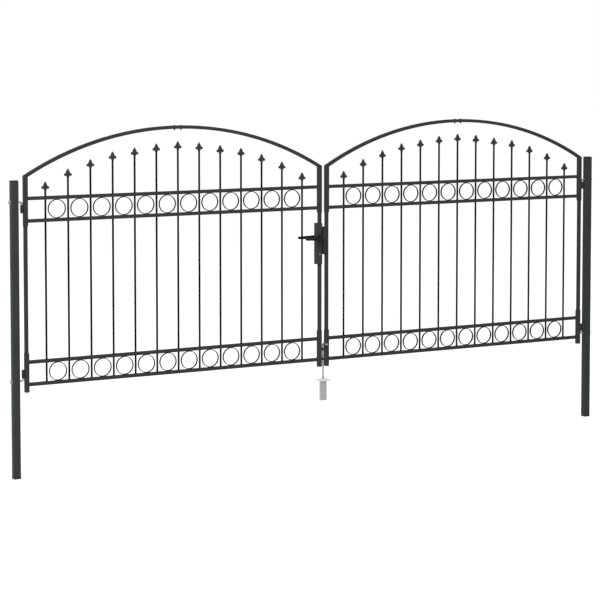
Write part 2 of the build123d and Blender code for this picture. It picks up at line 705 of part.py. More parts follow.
def make_keeper():
    """The keeper box on the right meeting stile, with a slot that faces the lock."""
    foot = LOCK_FOOT_HEIGHT + KEEPER_FOOT
    top = foot + KEEPER_HEIGHT
    front = RIGHT_STILE_FACE - KEEPER_REACH
    keeper = block((front, -KEEPER_DEPTH / 2, foot), (RIGHT_STILE_FACE, KEEPER_DEPTH / 2, top))
    low = (front - OVERRUN, -KEEPER_POCKET_DEPTH / 2, foot + KEEPER_POCKET_MARGIN)
    high = (front + KEEPER_POCKET, KEEPER_POCKET_DEPTH / 2, top - KEEPER_POCKET_MARGIN)
    return keeper - block(low, high)


# Drop bolt


def make_guide(foot):
    """A bored block on the right meeting stile that guides the rod."""
    low = (ROD_X - ROD / 2 - GUIDE_WALL, -GUIDE_DEPTH / 2, foot)
    guide = block(low, (RIGHT_SLEEVE_FACE, GUIDE_DEPTH / 2, foot + GUIDE_HEIGHT))
    bore = ROD + 2 * ROD_FIT
    start = (ROD_X, 0, foot - OVERRUN)
    return guide - bore_along((0, 0, 1), start, GUIDE_HEIGHT + 2 * OVERRUN, bore, GUIDE_BORE_SIDES)


def make_guides():
    return Compound(children=[make_guide(UPPER_GUIDE_FOOT), make_guide(LOWER_GUIDE_FOOT)])


def make_drop_rod():
    """The drop bolt's rod, bent at the top into its handle, with its tip just over the socket."""
    tip = (ROD_X, 0, SOCKET_HEIGHT + SOCKET_CLEARANCE)
    corner = (ROD_X, 0, ROD_HANDLE_HEIGHT)
    end = (ROD_X, -ROD_HANDLE, ROD_HANDLE_HEIGHT)
    path = FilletPolyline(tip, corner, end, radius=ROD_BEND)
    section = Plane(origin=tip, z_dir=(0, 0, 1)) * RegularPolygon(ROD / 2, ROD_SIDES)
    return sweep(section, path=path)


def leaf_nodes(side, place, meeting_spans):
    """The pieces that both leaves share, built on the left and put in place for either side."""
    hinge_span = [(LOWER_SLEEVE_END - SLEEVE_LAP, UPPER_SLEEVE_END + SLEEVE_LAP)]
    arch_half = make_arch_half()
    pieces = {
        "hinge_stile": make_stile(HINGE_STILE_X, hinge_span),
        "meeting_stile": make_stile(MEETING_STILE_X, meeting_spans),
        "upper_sleeves": both_ends(make_upper_sleeve()),
        "lower_sleeves": both_ends(make_lower_sleeve()),
        "foot_plugs": both_ends(make_foot_plug()),
        "arch_hinge_half": arch_half,
        "arch_meeting_half": across_leaf(arch_half),
        "arch_bolts": make_splice_bolts(),
        "upper_rails": make_rails(SECOND_RAIL_HEIGHT, TOP_RAIL_HEIGHT, True),
        "lower_rails": make_rails(BOTTOM_RAIL_HEIGHT, THIRD_RAIL_HEIGHT, False),
        "upper_rings": make_rings(SECOND_RAIL_HEIGHT),
        "lower_rings": make_rings(BOTTOM_RAIL_HEIGHT),
        "bars": make_bars(),
        "finials": make_finials(),
        "hinge_barrels": make_barrels(),
    }
    return {f"{side}_{name}": place(shape) for name, shape in pieces.items()}


def gate_nodes():
    """Every piece of the gate by the name of its node."""
    stile_foot = LOWER_SLEEVE_END - SLEEVE_LAP
    stile_top = UPPER_SLEEVE_END + SLEEVE_LAP
    lock_top = LOCK_FOOT_HEIGHT + LOCK_HEIGHT
    around_lock = [(stile_foot, LOCK_FOOT_HEIGHT), (lock_top, stile_top)]
    hooks = make_hooks()
    nodes = {
        "left_post": make_post(LEFT_POST_HEIGHT, True),
        "right_post": mirrored(make_post(RIGHT_POST_HEIGHT, False)),
        "left_post_cap": make_post_cap(LEFT_POST_HEIGHT),
        "right_post_cap": mirrored(make_post_cap(RIGHT_POST_HEIGHT)),
        "left_hinge_hooks": hooks,
        "right_hinge_hooks": mirrored(hooks),
        "ground_socket": make_ground_socket(),
    }
    nodes.update(leaf_nodes("left", same_leaf, around_lock))
    nodes.update(leaf_nodes("right", mirrored, [(stile_foot, stile_top)]))
    nodes["lock_case"] = make_lock_case()
    nodes["lock_faceplate"] = make_faceplate()
    nodes["key_cylinder"] = make_key_cylinder()
    nodes["lever_roses"] = make_roses()
    nodes["front_lever"] = make_lever(-1)
    nodes["back_lever"] = make_lever(1)
    nodes["lever_spindle"] = make_spindle()
    nodes["lock_keeper"] = make_keeper()
    nodes["drop_bolt_guides"] = make_guides()
    nodes["drop_rod"] = make_drop_rod()
    return nodes


os.makedirs("parts", exist_ok=True)
for node_name, node_shape in gate_nodes().items():
    export_step(node_shape, f"parts/{node_name}.step")
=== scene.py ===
import json
import math

import bmesh
import bpy
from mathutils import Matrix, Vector


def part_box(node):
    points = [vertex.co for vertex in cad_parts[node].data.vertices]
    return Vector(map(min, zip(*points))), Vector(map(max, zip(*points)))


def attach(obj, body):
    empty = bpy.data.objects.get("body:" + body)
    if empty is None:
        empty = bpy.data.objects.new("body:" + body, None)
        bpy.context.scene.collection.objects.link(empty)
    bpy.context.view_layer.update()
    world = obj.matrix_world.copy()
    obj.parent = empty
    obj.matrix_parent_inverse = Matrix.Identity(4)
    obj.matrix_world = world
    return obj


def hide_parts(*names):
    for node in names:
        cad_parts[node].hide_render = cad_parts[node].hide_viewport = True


# Looks of an arched double-leaf driveway gate, in metres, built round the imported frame.

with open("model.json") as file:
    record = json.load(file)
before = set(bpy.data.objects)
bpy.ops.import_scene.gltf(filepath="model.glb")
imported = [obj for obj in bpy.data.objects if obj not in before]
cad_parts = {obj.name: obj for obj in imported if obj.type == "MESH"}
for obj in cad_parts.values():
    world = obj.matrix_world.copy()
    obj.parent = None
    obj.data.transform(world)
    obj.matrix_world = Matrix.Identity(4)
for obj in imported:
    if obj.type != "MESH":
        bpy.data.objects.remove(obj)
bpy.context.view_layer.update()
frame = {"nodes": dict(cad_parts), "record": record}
nodes = frame["nodes"]

# Two places closer than this count as one
SAME_PLACE = 1e-5

# Places and sizes shared by both leaves; the right leaf is the left one mirrored at MIDDLE
MIDDLE = 1.979
HINGE_STILE_X = 0.0657
MEETING_STILE_X = 1.955
LEAF_MIDDLE = (HINGE_STILE_X + MEETING_STILE_X) / 2
STILE = 0.020
SLEEVE = 0.025
SLEEVE_OUTER = 0.0115
SLEEVE_TAPER = 0.008
SLEEVE_LIP = 0.023
TUBE_CORNER = 0.0015
RAIL = 0.020
RAIL_HEIGHTS = (0.534, 0.662, 1.468, 1.596)
STILE_FOOT = 0.489
STILE_LAP = 0.030
PLUG_FLANGE = 0.003
UPPER_SLEEVE_END = 1.437
LOWER_SLEEVE_END = 0.716
WELD_BEAD = 0.0013

# Arch
ARCH_TUBE = 0.020
ARCH_CORNER_Z = 1.726
ARCH_CROWN_Z = 1.991
HALF_LEAF = LEAF_MIDDLE - HINGE_STILE_X + SLEEVE_OUTER
ARCH_RISE = ARCH_CROWN_Z - ARCH_CORNER_Z
ARCH_RADIUS = (HALF_LEAF**2 + ARCH_RISE**2) / (2 * ARCH_RISE)
ARCH_CENTRE_Z = ARCH_CROWN_Z - ARCH_RADIUS
ARCH_END_EDGE = 0.0006
SPLICE_BOLT_X = 0.021
SPLICE_HEAD_RADIUS = 0.0055
SPLICE_HEAD_SINK = 0.0006
SPLICE_NUT_ACROSS = 0.0095
SPLICE_NUT = 0.0055
SPLICE_SHANK_RADIUS = 0.003

# Bars, spears and rings
BARS_PER_LEAF = 13
FIRST_BAR_X = 0.1864
BAR_PITCH = 0.137325
BAR_PLACES = [FIRST_BAR_X + BAR_PITCH * n for n in range(BARS_PER_LEAF)]
RING_PLACES = [x + BAR_PITCH / 2 for x in BAR_PLACES[:-1]]
BAR_RADIUS = 0.006
BAR_BEAD_RADIUS = BAR_RADIUS + 0.0004
BAR_FOOT = RAIL_HEIGHTS[0] + RAIL / 2
SPEAR_CROWN = 0.302
SPEAR_DROP = 0.210
SPEAR_DROP_SHARES = (0.0, 0.048, 0.143, 0.238, 0.429, 0.667, 1.0)
SPEAR_HEIGHT = 0.046
SPEAR_CORE_FOOT = 0.006
SPEAR_CORE_TOP = 0.018
SPEAR_CORE_WIDTH = 0.020
SPEAR_CORE_DEPTH = 0.0105
SPEAR_LAP = 0.003
# Each step of the spear's blade and of its lobes: length, then shares of the last width and depth
BLADE_STEPS = ((0.003, 1.36, 1.0), (0.012, 0.60, 0.95), (0.010, 0.40, 0.8), (0.003, 0.45, 0.7))
LOBE_STEPS = ((0.003, 1.22, 1.0), (0.006, 1.05, 0.95), (0.003, 0.72, 0.85), (0.001, 0.55, 0.7))
RING_OUTER = 0.05385
RING_STRIP = 0.004
RING_DEPTH = 0.012
RING_BEAD = (0.010, 0.0052, 0.0016)
RING_BEAD_SINK = 0.0008

# Hinges
HINGE_AXIS_X = 0.0452
HOOK_RADIUS = 0.006
HOOK_BEND = 0.014
HOOK_TAIL_X = -0.034
HOOK_CHAMFER = 0.0009
HOOK_END_GAP = 0.002
HOOK_WASHER_RADIUS = 0.012
HOOK_WASHER = 0.0016
HOOK_NUT_ACROSS = 0.019
HOOK_NUT = 0.009
POST_HALF = 0.021
POST_CORNER = 0.003
CAP_FLANGE = 0.004
CAP_TOP_EDGE = 0.0015
CAP_LOW_EDGE = 0.0005
STRIKE_SLOTS = ((1.199, 1.219), (1.225, 1.237))
STRIKE_SLOT_HALF = 0.007
STRIKE_SLOT_DEPTH = 0.006
CUT_PAST = 0.005
UPPER_HOOK_Z = 1.576
LOWER_HOOK_Z = 0.557
UPPER_BARREL_Z = 1.537
LOWER_BARREL_Z = 0.597
BARREL_HALF = 0.023
BARREL_RADIUS = 0.009
BARREL_WALL = 0.0027
BARREL_SEAT_START = 0.0078
BARREL_SEAT_HALF = 0.005
BARREL_SEAT_SHORT = 0.001

# Lock
LOCK_X = 1.946
SPINDLE_Z = 1.283
LOCK_HALF_DEPTH = 0.020
LEVER_ROOT = 0.024
LEVER_TIP = 0.016
LEVER_REACH = 0.112
LEVER_NEAR = 0.046
LEVER_FAR = 0.058
NECK_RADIUS = 0.008
NECK_FOOT = 0.0203
ROSE_RADIUS = 0.017
ROSE_FACE = 0.026
ROSE_RIM = 0.0016
ROSE_PLAY = 0.0003
LEVER_EDGE = 0.0035
LEVER_FLARE = 0.006
LEVER_FLARE_SHARE = 1.2
LEVER_LAP = 0.001
KEYWAY_HALF_WIDTH = 0.0007
KEYWAY_HALF_HEIGHT = 0.0035
KEEPER_POCKET_DEPTH = 0.014
KEEPER_POCKET_WIDTH = 0.018
KEEPER_POCKET_HEIGHT = 0.141
LATCH_OPENING = (1.272, 1.296)
LATCH_SLANT = 0.0014
DEADBOLT_OPENING = (1.202, 1.236)
LOCK_BOLT_HALF = 0.0063
LOCK_BOLT_PLAY = 0.0007
LOCK_BOLT_SINK = 0.0006
FACEPLATE_SCREW_HEIGHTS = (1.193, 1.340)
FACEPLATE_SCREW_RADIUS = 0.0034
FACEPLATE_SCREW_HEAD = 0.0010

# Drop bolt and its socket
ROD_X = 1.9805
ROD_RADIUS = 0.006
ROD_TIP_Z = 0.4124
ROD_HANDLE_Z = 0.631
ROD_HANDLE_Y = -0.052
ROD_BEND = 0.010
ROD_CHAMFER = 0.0008
SOCKET_PLATE_LOW = 0.403
SOCKET_PLATE_TOP = 0.407
SOCKET_RIM = 0.412
SOCKET_MOUTH = 0.0132
SOCKET_PLATE_HALF_X = 0.042
SOCKET_PLATE_HALF_Y = 0.035
SOCKET_PLATE_CORNER = 0.006
EAR_HOLE_X = 0.028
EAR_HOLE_RADIUS = 0.0045
EAR_CUT = 0.02
COLLAR_RADIUS = 0.018
COLLAR_EDGE = 0.002
SOCKET_TUBE_HALF_X = 0.020
SOCKET_TUBE_HALF_Y = 0.0125
SOCKET_TUBE_CORNER = 0.003
SOCKET_TUBE_WALL = 0.002
MOUTH_CUT_PAST = 0.002

# View and light
CAMERA_PLACE = (-3.5996, -10.3545, 2.4907)
CAMERA_PITCH = 3.5
CAMERA_HEADING = -27.63
CAMERA_LENS = 115.73
CAMERA_SHIFT = -0.2366
FLOOR_GLOW = 0.52
SKY_LIGHT = 0.62
LAMP_PLACE = (-5.5, -6.5, 8.0)
LAMP_TARGET = (2.0, 0, 1.0)


def take(piece):
    """Makes one piece the only selected and active object."""
    bpy.ops.object.select_all(action="DESELECT")
    piece.select_set(True)
    bpy.context.view_layer.objects.active = piece


def fresh(name):
    """Names the primitive that was just added and puts its place in its mesh."""
    piece = bpy.context.active_object
    piece.name = name
    piece.data.name = name
    take(piece)
    bpy.ops.object.transform_apply(location=True, rotation=True, scale=True)
    return piece


def open_mesh(piece):
    take(piece)
    bpy.ops.object.mode_set(mode="EDIT")
    bpy.ops.mesh.select_all(action="DESELECT")


def close_mesh():
    bpy.ops.object.mode_set(mode="OBJECT")


def pick_faces(piece, wanted):
    """Selects, in edit mode, the faces whose centre and normal are wanted."""
    bpy.ops.mesh.select_mode(type="FACE")
    bpy.ops.mesh.select_all(action="DESELECT")
    mesh = bmesh.from_edit_mesh(piece.data)
    for face in mesh.faces:
        face.select_set(bool(wanted(face.calc_center_median(), face.normal)))
    bmesh.update_edit_mesh(piece.data)


def pick_edges(piece, wanted):
    """Selects, in edit mode, the edges whose two ends are wanted."""
    bpy.ops.mesh.select_mode(type="EDGE")
    bpy.ops.mesh.select_all(action="DESELECT")
    mesh = bmesh.from_edit_mesh(piece.data)
    for edge in mesh.edges:
        edge.select_set(bool(wanted(edge.verts[0].co, edge.verts[1].co)))
    bmesh.update_edit_mesh(piece.data)


def pick_points(piece, wanted):
    """Selects, in edit mode, the points that are wanted."""
    bpy.ops.mesh.select_mode(type="VERT")
    bpy.ops.mesh.select_all(action="DESELECT")
    mesh = bmesh.from_edit_mesh(piece.data)
    for point in mesh.verts:
        point.select_set(bool(wanted(point.co)))
    mesh.select_flush(True)
    bmesh.update_edit_mesh(piece.data)


def face_outwards(piece):
    open_mesh(piece)
    bpy.ops.mesh.select_all(action="SELECT")
    bpy.ops.mesh.remove_doubles(threshold=1e-6)
    bpy.ops.mesh.normals_make_consistent(inside=False)
    close_mesh()


def smooth(piece, degrees=35):
    take(piece)
    bpy.ops.object.shade_smooth_by_angle(angle=math.radians(degrees))


def copy_of(piece, name):
    twin = piece.copy()
    twin.data = piece.data.copy()
    twin.name = name
    twin.data.name = name
    bpy.context.scene.collection.objects.link(twin)
    return twin


def moved(piece, shift):
    """Moves a piece and puts its new place in its mesh."""
    piece.location = Vector(shift)
    take(piece)
    bpy.ops.object.transform_apply(location=True, rotation=False, scale=False)
    return piece


def mirrored(piece, name, at_x):
    """A copy of a piece on the other side of an upright plane."""
    twin = copy_of(piece, name)
    twin.scale = (-1, 1, 1)
    twin.location = (2 * at_x, 0, 0)
    take(twin)
    bpy.ops.object.transform_apply(location=True, rotation=False, scale=True)
    face_outwards(twin)
    return twin


def flipped(piece, name):
    """A copy of a piece on the other side of the gate's plane."""
    twin = copy_of(piece, name)
    twin.scale = (1, -1, 1)
    take(twin)
    bpy.ops.object.transform_apply(location=False, rotation=False, scale=True)
    face_outwards(twin)
    return twin


def joined(pieces, name):
    """Several meshes made into one piece."""
    bpy.ops.object.select_all(action="DESELECT")
    for piece in pieces:
        piece.select_set(True)
    bpy.context.view_layer.objects.active = pieces[0]
    if len(pieces) > 1:
        bpy.ops.object.join()
    whole = bpy.context.active_object
    whole.name = name
    whole.data.name = name
    return whole


def apply_modifier(piece, kind, **settings):
    take(piece)
    modifier = piece.modifiers.new(kind, kind)
    for key, value in settings.items():
        setattr(modifier, key, value)
    bpy.ops.object.modifier_apply(modifier=modifier.name)


def block(name, low, high):
    """A plain box between two opposite corners, to be worked on."""
    middle = [(a + b) / 2 for a, b in zip(low, high)]
    size = [b - a for a, b in zip(low, high)]
    bpy.ops.mesh.primitive_cube_add(size=1, location=middle, scale=size)
    return fresh(name)


def disc_along_y(name, radius, centre, depth, sides=48):
    """A plain round bar across the gate, to be worked on."""
    bpy.ops.mesh.primitive_cylinder_add(
        vertices=sides, radius=radius, depth=depth, location=centre, rotation=(math.pi / 2, 0, 0)
    )
    return fresh(name)


def cut_with(piece, cutter):
    """Takes the cutter's form out of a piece and removes the cutter."""
    apply_modifier(piece, "BOOLEAN", object=cutter, operation="DIFFERENCE", solver="EXACT")
    bpy.data.objects.remove(cutter)


def ease_edges(piece, width, segments=2):
    """Rounds every sharp edge of a piece."""
    apply_modifier(piece, "BEVEL", width=width, segments=segments, limit_method="ANGLE", angle_limit=0.6)


# Finishes


def shader_of(name):
    material = bpy.data.materials.new(name)
    material.use_nodes = True
    tree = material.node_tree
    shader = tree.nodes["Principled BSDF"]
    where = tree.nodes.new("ShaderNodeTexCoord")
    return material, tree, shader, where


def noise(tree, where, scale, detail=4.0):
    texture = tree.nodes.new("ShaderNodeTexNoise")
    texture.inputs["Scale"].default_value = scale
    texture.inputs["Detail"].default_value = detail
    tree.links.new(where.outputs["Object"], texture.inputs["Vector"])
    return texture


def ramp(tree, source, low, high, start=0.3, end=0.7):
    """Spreads a pattern's grey between two colours."""
    node = tree.nodes.new("ShaderNodeValToRGB")
    node.color_ramp.elements[0].position = start
    node.color_ramp.elements[0].color = (*low, 1)
    node.color_ramp.elements[1].position = end
    node.color_ramp.elements[1].color = (*high, 1)
    tree.links.new(source, node.inputs["Fac"])
    return node


def spread(tree, source, low, high):
    """Spreads a pattern's grey between two numbers."""
    node = tree.nodes.new("ShaderNodeMapRange")
    node.inputs["From Min"].default_value = 0.3
    node.inputs["From Max"].default_value = 0.7
    node.inputs["To Min"].default_value = low
    node.inputs["To Max"].default_value = high
    tree.links.new(source, node.inputs["Value"])
    return node


def bumps(tree, source, shader, depth, strength):
    node = tree.nodes.new("ShaderNodeBump")
    node.inputs["Strength"].default_value = strength
    node.inputs["Distance"].default_value = depth
    tree.links.new(source, node.inputs["Height"])
    tree.links.new(node.outputs["Normal"], shader.inputs["Normal"])


def powder_coat(name, dark, light, rough, gloss):
    """Baked powder paint: fine orange peel, and a tone that drifts a little along the tube."""
    material, tree, shader, where = shader_of(name)
    drift = noise(tree, where, 9.0, 3.0)
    peel = noise(tree, where, 900.0, 2.0)
    tone = ramp(tree, drift.outputs["Fac"], dark, light)
    tree.links.new(tone.outputs["Color"], shader.inputs["Base Color"])
    sheen = spread(tree, drift.outputs["Fac"], rough - 0.05, rough + 0.07)
    tree.links.new(sheen.outputs["Result"], shader.inputs["Roughness"])
    shader.inputs["Specular IOR Level"].default_value = gloss
    bumps(tree, peel.outputs["Fac"], shader, 0.0002, 0.15)
    return material


def plated_steel(name, dark, light, rough):
    """Zinc or nickel plate: cloudy tone with fine drawn streaks."""
    material, tree, shader, where = shader_of(name)
    cloud = noise(tree, where, 70.0, 5.0)
    grain = noise(tree, where, 1500.0, 2.0)
    tone = ramp(tree, cloud.outputs["Fac"], dark, light)
    tree.links.new(tone.outputs["Color"], shader.inputs["Base Color"])
    dull = spread(tree, cloud.outputs["Fac"], rough - 0.08, rough + 0.1)
    tree.links.new(dull.outputs["Result"], shader.inputs["Roughness"])
    shader.inputs["Metallic"].default_value = 0.9
    bumps(tree, grain.outputs["Fac"], shader, 0.0001, 0.2)
    return material


def galvanised_steel(name, dark, light):
    """Hot-dip zinc with its crystal spangle, with painted light: the plate is painted brighter than the
    tube below it.
    """
    material, tree, shader, where = shader_of(name)
    cells = tree.nodes.new("ShaderNodeTexVoronoi")
    cells.inputs["Scale"].default_value = 130.0
    tree.links.new(where.outputs["Object"], cells.inputs["Vector"])
    cloud = noise(tree, where, 45.0, 4.0)
    spangle = tree.nodes.new("ShaderNodeRGBToBW")
    tree.links.new(cells.outputs["Color"], spangle.inputs["Color"])
    both = tree.nodes.new("ShaderNodeMath")
    both.operation = "MULTIPLY_ADD"
    both.inputs[1].default_value = 0.35
    tree.links.new(spangle.outputs["Val"], both.inputs[0])
    tree.links.new(cloud.outputs["Fac"], both.inputs[2])
    tone = ramp(tree, both.outputs["Value"], dark, light, 0.4, 0.95)
    height = tree.nodes.new("ShaderNodeSeparateXYZ")
    tree.links.new(where.outputs["Object"], height.inputs["Vector"])
    # Painted light: from the plate's underside up, the plate and collar get their tone raised 1.9 times, a
    # painted highlight for the light their top faces reflect.
    plate_painted_light_level = tree.nodes.new("ShaderNodeMapRange")
    plate_painted_light_level.inputs["From Min"].default_value = SOCKET_PLATE_LOW - 0.001
    plate_painted_light_level.inputs["From Max"].default_value = SOCKET_PLATE_LOW
    plate_painted_light_level.inputs["To Min"].default_value = 1.0
    plate_painted_light_level.inputs["To Max"].default_value = 1.9
    tree.links.new(height.outputs["Z"], plate_painted_light_level.inputs["Value"])
    painted_light_tone = tree.nodes.new("ShaderNodeVectorMath")
    painted_light_tone.operation = "SCALE"
    tree.links.new(tone.outputs["Color"], painted_light_tone.inputs["Vector"])
    tree.links.new(plate_painted_light_level.outputs["Result"], painted_light_tone.inputs["Scale"])
    tree.links.new(painted_light_tone.outputs["Vector"], shader.inputs["Base Color"])
    dull = spread(tree, spangle.outputs["Val"], 0.32, 0.5)
    tree.links.new(dull.outputs["Result"], shader.inputs["Roughness"])
    shader.inputs["Metallic"].default_value = 0.4
    bumps(tree, cloud.outputs["Fac"], shader, 0.0003, 0.2)
    return material


def black_plastic(name):
    """Moulded plastic with a fine spark-eroded grain."""
    material, tree, shader, where = shader_of(name)
    grain = noise(tree, where, 1100.0, 3.0)
    cloud = noise(tree, where, 40.0, 2.0)
    tone = ramp(tree, cloud.outputs["Fac"], (0.024, 0.024, 0.024), (0.032, 0.032, 0.032))
    tree.links.new(tone.outputs["Color"], shader.inputs["Base Color"])
    dull = spread(tree, grain.outputs["Fac"], 0.45, 0.6)
    tree.links.new(dull.outputs["Result"], shader.inputs["Roughness"])
    shader.inputs["Specular IOR Level"].default_value = 0.1
    bumps(tree, grain.outputs["Fac"], shader, 0.00015, 0.35)
    return material


FINISHES = {
    "powder_coat": powder_coat("frame_coat", (0.033, 0.033, 0.033), (0.039, 0.039, 0.039), 0.5, 0.06),
    "post_powder_coat": powder_coat("post_coat", (0.031, 0.036, 0.0345), (0.037, 0.042, 0.0405), 0.5, 0.06),
    # The bars and rings get a near-black copy of the frame's coat: painted shade for the dark that the
    # round bars and thin ring strips show.
    "bar_powder_coat": powder_coat("bar_painted_shade_coat", (0.002, 0.002, 0.002), (0.0035, 0.0035, 0.0035), 0.5, 0.05),
    "lever_black": powder_coat("lever_coat", (0.002, 0.002, 0.002), (0.004, 0.004, 0.004), 0.34, 0.16),
    "black_fastener": powder_coat("fastener_coat", (0.018, 0.018, 0.018), (0.025, 0.025, 0.025), 0.4, 0.2),
    "black_plastic": black_plastic("cap_plastic"),
    "zinc_plated": plated_steel("zinc_plate", (0.29, 0.295, 0.30), (0.38, 0.385, 0.385), 0.36),
    "galvanised": galvanised_steel("galvanised_plate", (0.30, 0.305, 0.305), (0.41, 0.415, 0.415)),
    "nickel_plated": plated_steel("nickel_plate", (0.10, 0.10, 0.10), (0.15, 0.15, 0.145), 0.34),
}


def finish_piece(piece, body, slot, stands_for=()):
    """Gives a finished piece the coat of its slot, puts it on its body and hides the nodes that it stands
    for.
    """
    piece.data.materials.clear()
    piece.data.materials.append(FINISHES[slot])
    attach(piece, body)
    for node in stands_for:
        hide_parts(node)
    return piece


def both_leaves(piece, name, slot, node=None):
    """Puts a finished left-leaf piece on its body, and a mirrored copy on the right leaf."""
    right = mirrored(piece, f"right_{name}", MIDDLE)
    smooth(right)
    for side, one in (("left", piece), ("right", right)):
        finish_piece(one, f"{side}_leaf", slot, (f"{side}_{node}",) if node else ())
    return piece, right


# Square tubes of the leaf


def square_tube(name, low, high, axis, corner=TUBE_CORNER):
    """A straight square tube with its long corners rounded."""
    length = high[axis] - low[axis]
    tube = block(name, low, high)
    open_mesh(tube)
    pick_edges(tube, lambda a, b: abs(a[axis] - b[axis]) > length / 2)
    bpy.ops.mesh.bevel(offset=corner, segments=4, affect="EDGES")
    close_mesh()
    return tube


def weld_round(name, x, z, radius, thick=WELD_BEAD):
    """A weld bead round a bar where it meets a rail's face."""
    bpy.ops.mesh.primitive_torus_add(
        location=(x, 0, z),
        major_radius=radius,
        minor_radius=thick,
        major_segments=20,
        minor_segments=6,
    )
    return fresh(name)


def weld_square(name, centre, half, turn, thick=WELD_BEAD):
    """A weld bead round the end of a square tube; the turn sets the tube's direction."""
    bpy.ops.mesh.primitive_torus_add(
        location=(0, 0, 0),
        rotation=(0, 0, math.pi / 4),
        major_radius=half * math.sqrt(2),
        minor_radius=thick,
        major_segments=4,
        minor_segments=8,
    )
    bead = fresh(name)
    bead.rotation_euler = turn
    bead.location = centre
    take(bead)
    bpy.ops.object.transform_apply(location=True, rotation=True, scale=False)
    return bead


def make_rails(name, heights):
    """Two rails between the sleeves, with the weld beads at their ends."""
    start = HINGE_STILE_X + SLEEVE - SLEEVE_OUTER
    end = MEETING_STILE_X - SLEEVE + SLEEVE_OUTER
    along_x = (0, math.pi / 2, 0)
    rails = []
    for z in heights:
        low = (start, -RAIL / 2, z - RAIL / 2)
        high = (end, RAIL / 2, z + RAIL / 2)
        rails.append(square_tube("rail", low, high, 0))
        for x in (start, end):
            rails.append(weld_square("rail_bead", (x, 0, z), RAIL / 2, along_x))
    rails_whole = joined(rails, f"left_{name}_tubes")
    smooth(rails_whole)
    return both_leaves(rails_whole, f"{name}_tubes", "powder_coat", name)


make_rails("lower_rails", RAIL_HEIGHTS[:2])
make_rails("upper_rails", RAIL_HEIGHTS[2:])


def make_stile(name, x, spans, body, node):
    """A stile of one tube, or of two where the lock case stands between them."""
    tubes = []
    for foot, top in spans:
        low = (x - STILE / 2, -STILE / 2, foot)
        high = (x + STILE / 2, STILE / 2, top)
        tubes.append(square_tube(f"{name}_{len(tubes)}", low, high, 2))
    stile = joined(tubes, name)
    smooth(stile)
    return finish_piece(stile, body, "powder_coat", (node,))


stile_span = (LOWER_SLEEVE_END - STILE_LAP, UPPER_SLEEVE_END + STILE_LAP)
lock_low, lock_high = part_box("lock_case")
lock_spans = [(stile_span[0], lock_low.z), (lock_high.z, stile_span[1])]
for side, stile, stile_x, spans in (
    ("left", "hinge_stile", HINGE_STILE_X, [stile_span]),
    ("left", "meeting_stile", MEETING_STILE_X, lock_spans),
    ("right", "meeting_stile", 2 * MIDDLE - MEETING_STILE_X, [stile_span]),
    ("right", "hinge_stile", 2 * MIDDLE - HINGE_STILE_X, [stile_span]),
):
    make_stile(f"{side}_{stile}_tube", stile_x, spans, f"{side}_leaf", f"{side}_{stile}")

# Thick sleeves over the stiles, drawn down to the thin tube at one end


def arch_joint():
    """The outer and inner ends, in X and Z, of the cut between the hinge-side sleeve and the arch."""
    outer = (LEAF_MIDDLE - HALF_LEAF, ARCH_CORNER_Z)
    reach = HALF_LEAF - SLEEVE
    rise = math.sqrt((ARCH_RADIUS - ARCH_TUBE) ** 2 - reach**2)
    return outer, (LEAF_MIDDLE - reach, ARCH_CENTRE_Z + rise)


def make_sleeve(name, start_z, end_z):
    """A sleeve from its square end to its drawn-down end, above or below."""
    outer_x = HINGE_STILE_X - SLEEVE_OUTER
    way = 1 if end_z > start_z else -1
    neck = end_z - way * SLEEVE_TAPER
    low = (outer_x, -SLEEVE / 2, min(start_z, neck))
    high = (outer_x + SLEEVE, SLEEVE / 2, max(start_z, neck))
    sleeve = block(name, low, high)
    open_mesh(sleeve)
    pick_faces(sleeve, lambda c, n: n.z * way > 0.9)
    bpy.ops.mesh.extrude_region_move(TRANSFORM_OT_translate={"value": (0, 0, way * SLEEVE_TAPER)})
    share = SLEEVE_LIP / SLEEVE
    bpy.ops.transform.resize(value=(share, share, 1), center_override=(outer_x, 0, end_z))
    pick_edges(sleeve, lambda a, b: abs(a.z - b.z) > SLEEVE_TAPER / 2)
    bpy.ops.mesh.bevel(offset=TUBE_CORNER, segments=4, affect="EDGES")
    close_mesh()
    return sleeve


def cut_at_arch(piece, keep_sleeve):
    """Cuts a sleeve or an arch tube along the joint between them and closes the cut."""
    outer, inner = arch_joint()
    along = Vector((inner[0] - outer[0], 0, inner[1] - outer[1])).normalized()
    normal = Vector((-along.z, 0, along.x))
    open_mesh(piece)
    bpy.ops.mesh.select_all(action="SELECT")
    bpy.ops.mesh.bisect(
        plane_co=(outer[0], 0, outer[1]),
        plane_no=normal,
        use_fill=True,
        clear_outer=keep_sleeve,
        clear_inner=not keep_sleeve,
    )
    close_mesh()


upper_sleeve = make_sleeve("upper_sleeve_hinge", ARCH_CORNER_Z + SLEEVE, UPPER_SLEEVE_END)
cut_at_arch(upper_sleeve, True)
other_sleeve = mirrored(upper_sleeve, "upper_sleeve_meeting", LEAF_MIDDLE)
upper_pair = joined([upper_sleeve, other_sleeve], "left_upper_sleeves_drawn")
face_outwards(upper_pair)
smooth(upper_pair)
both_leaves(upper_pair, "upper_sleeves_drawn", "powder_coat", "upper_sleeves")

lower_sleeve = make_sleeve("lower_sleeve_hinge", STILE_FOOT + PLUG_FLANGE, LOWER_SLEEVE_END)
other_sleeve = mirrored(lower_sleeve, "lower_sleeve_meeting", LEAF_MIDDLE)
lower_pair = joined([lower_sleeve, other_sleeve], "left_lower_sleeves_drawn")
smooth(lower_pair)
both_leaves(lower_pair, "lower_sleeves_drawn", "powder_coat", "lower_sleeves")

# Arched top tube, bent in two halves


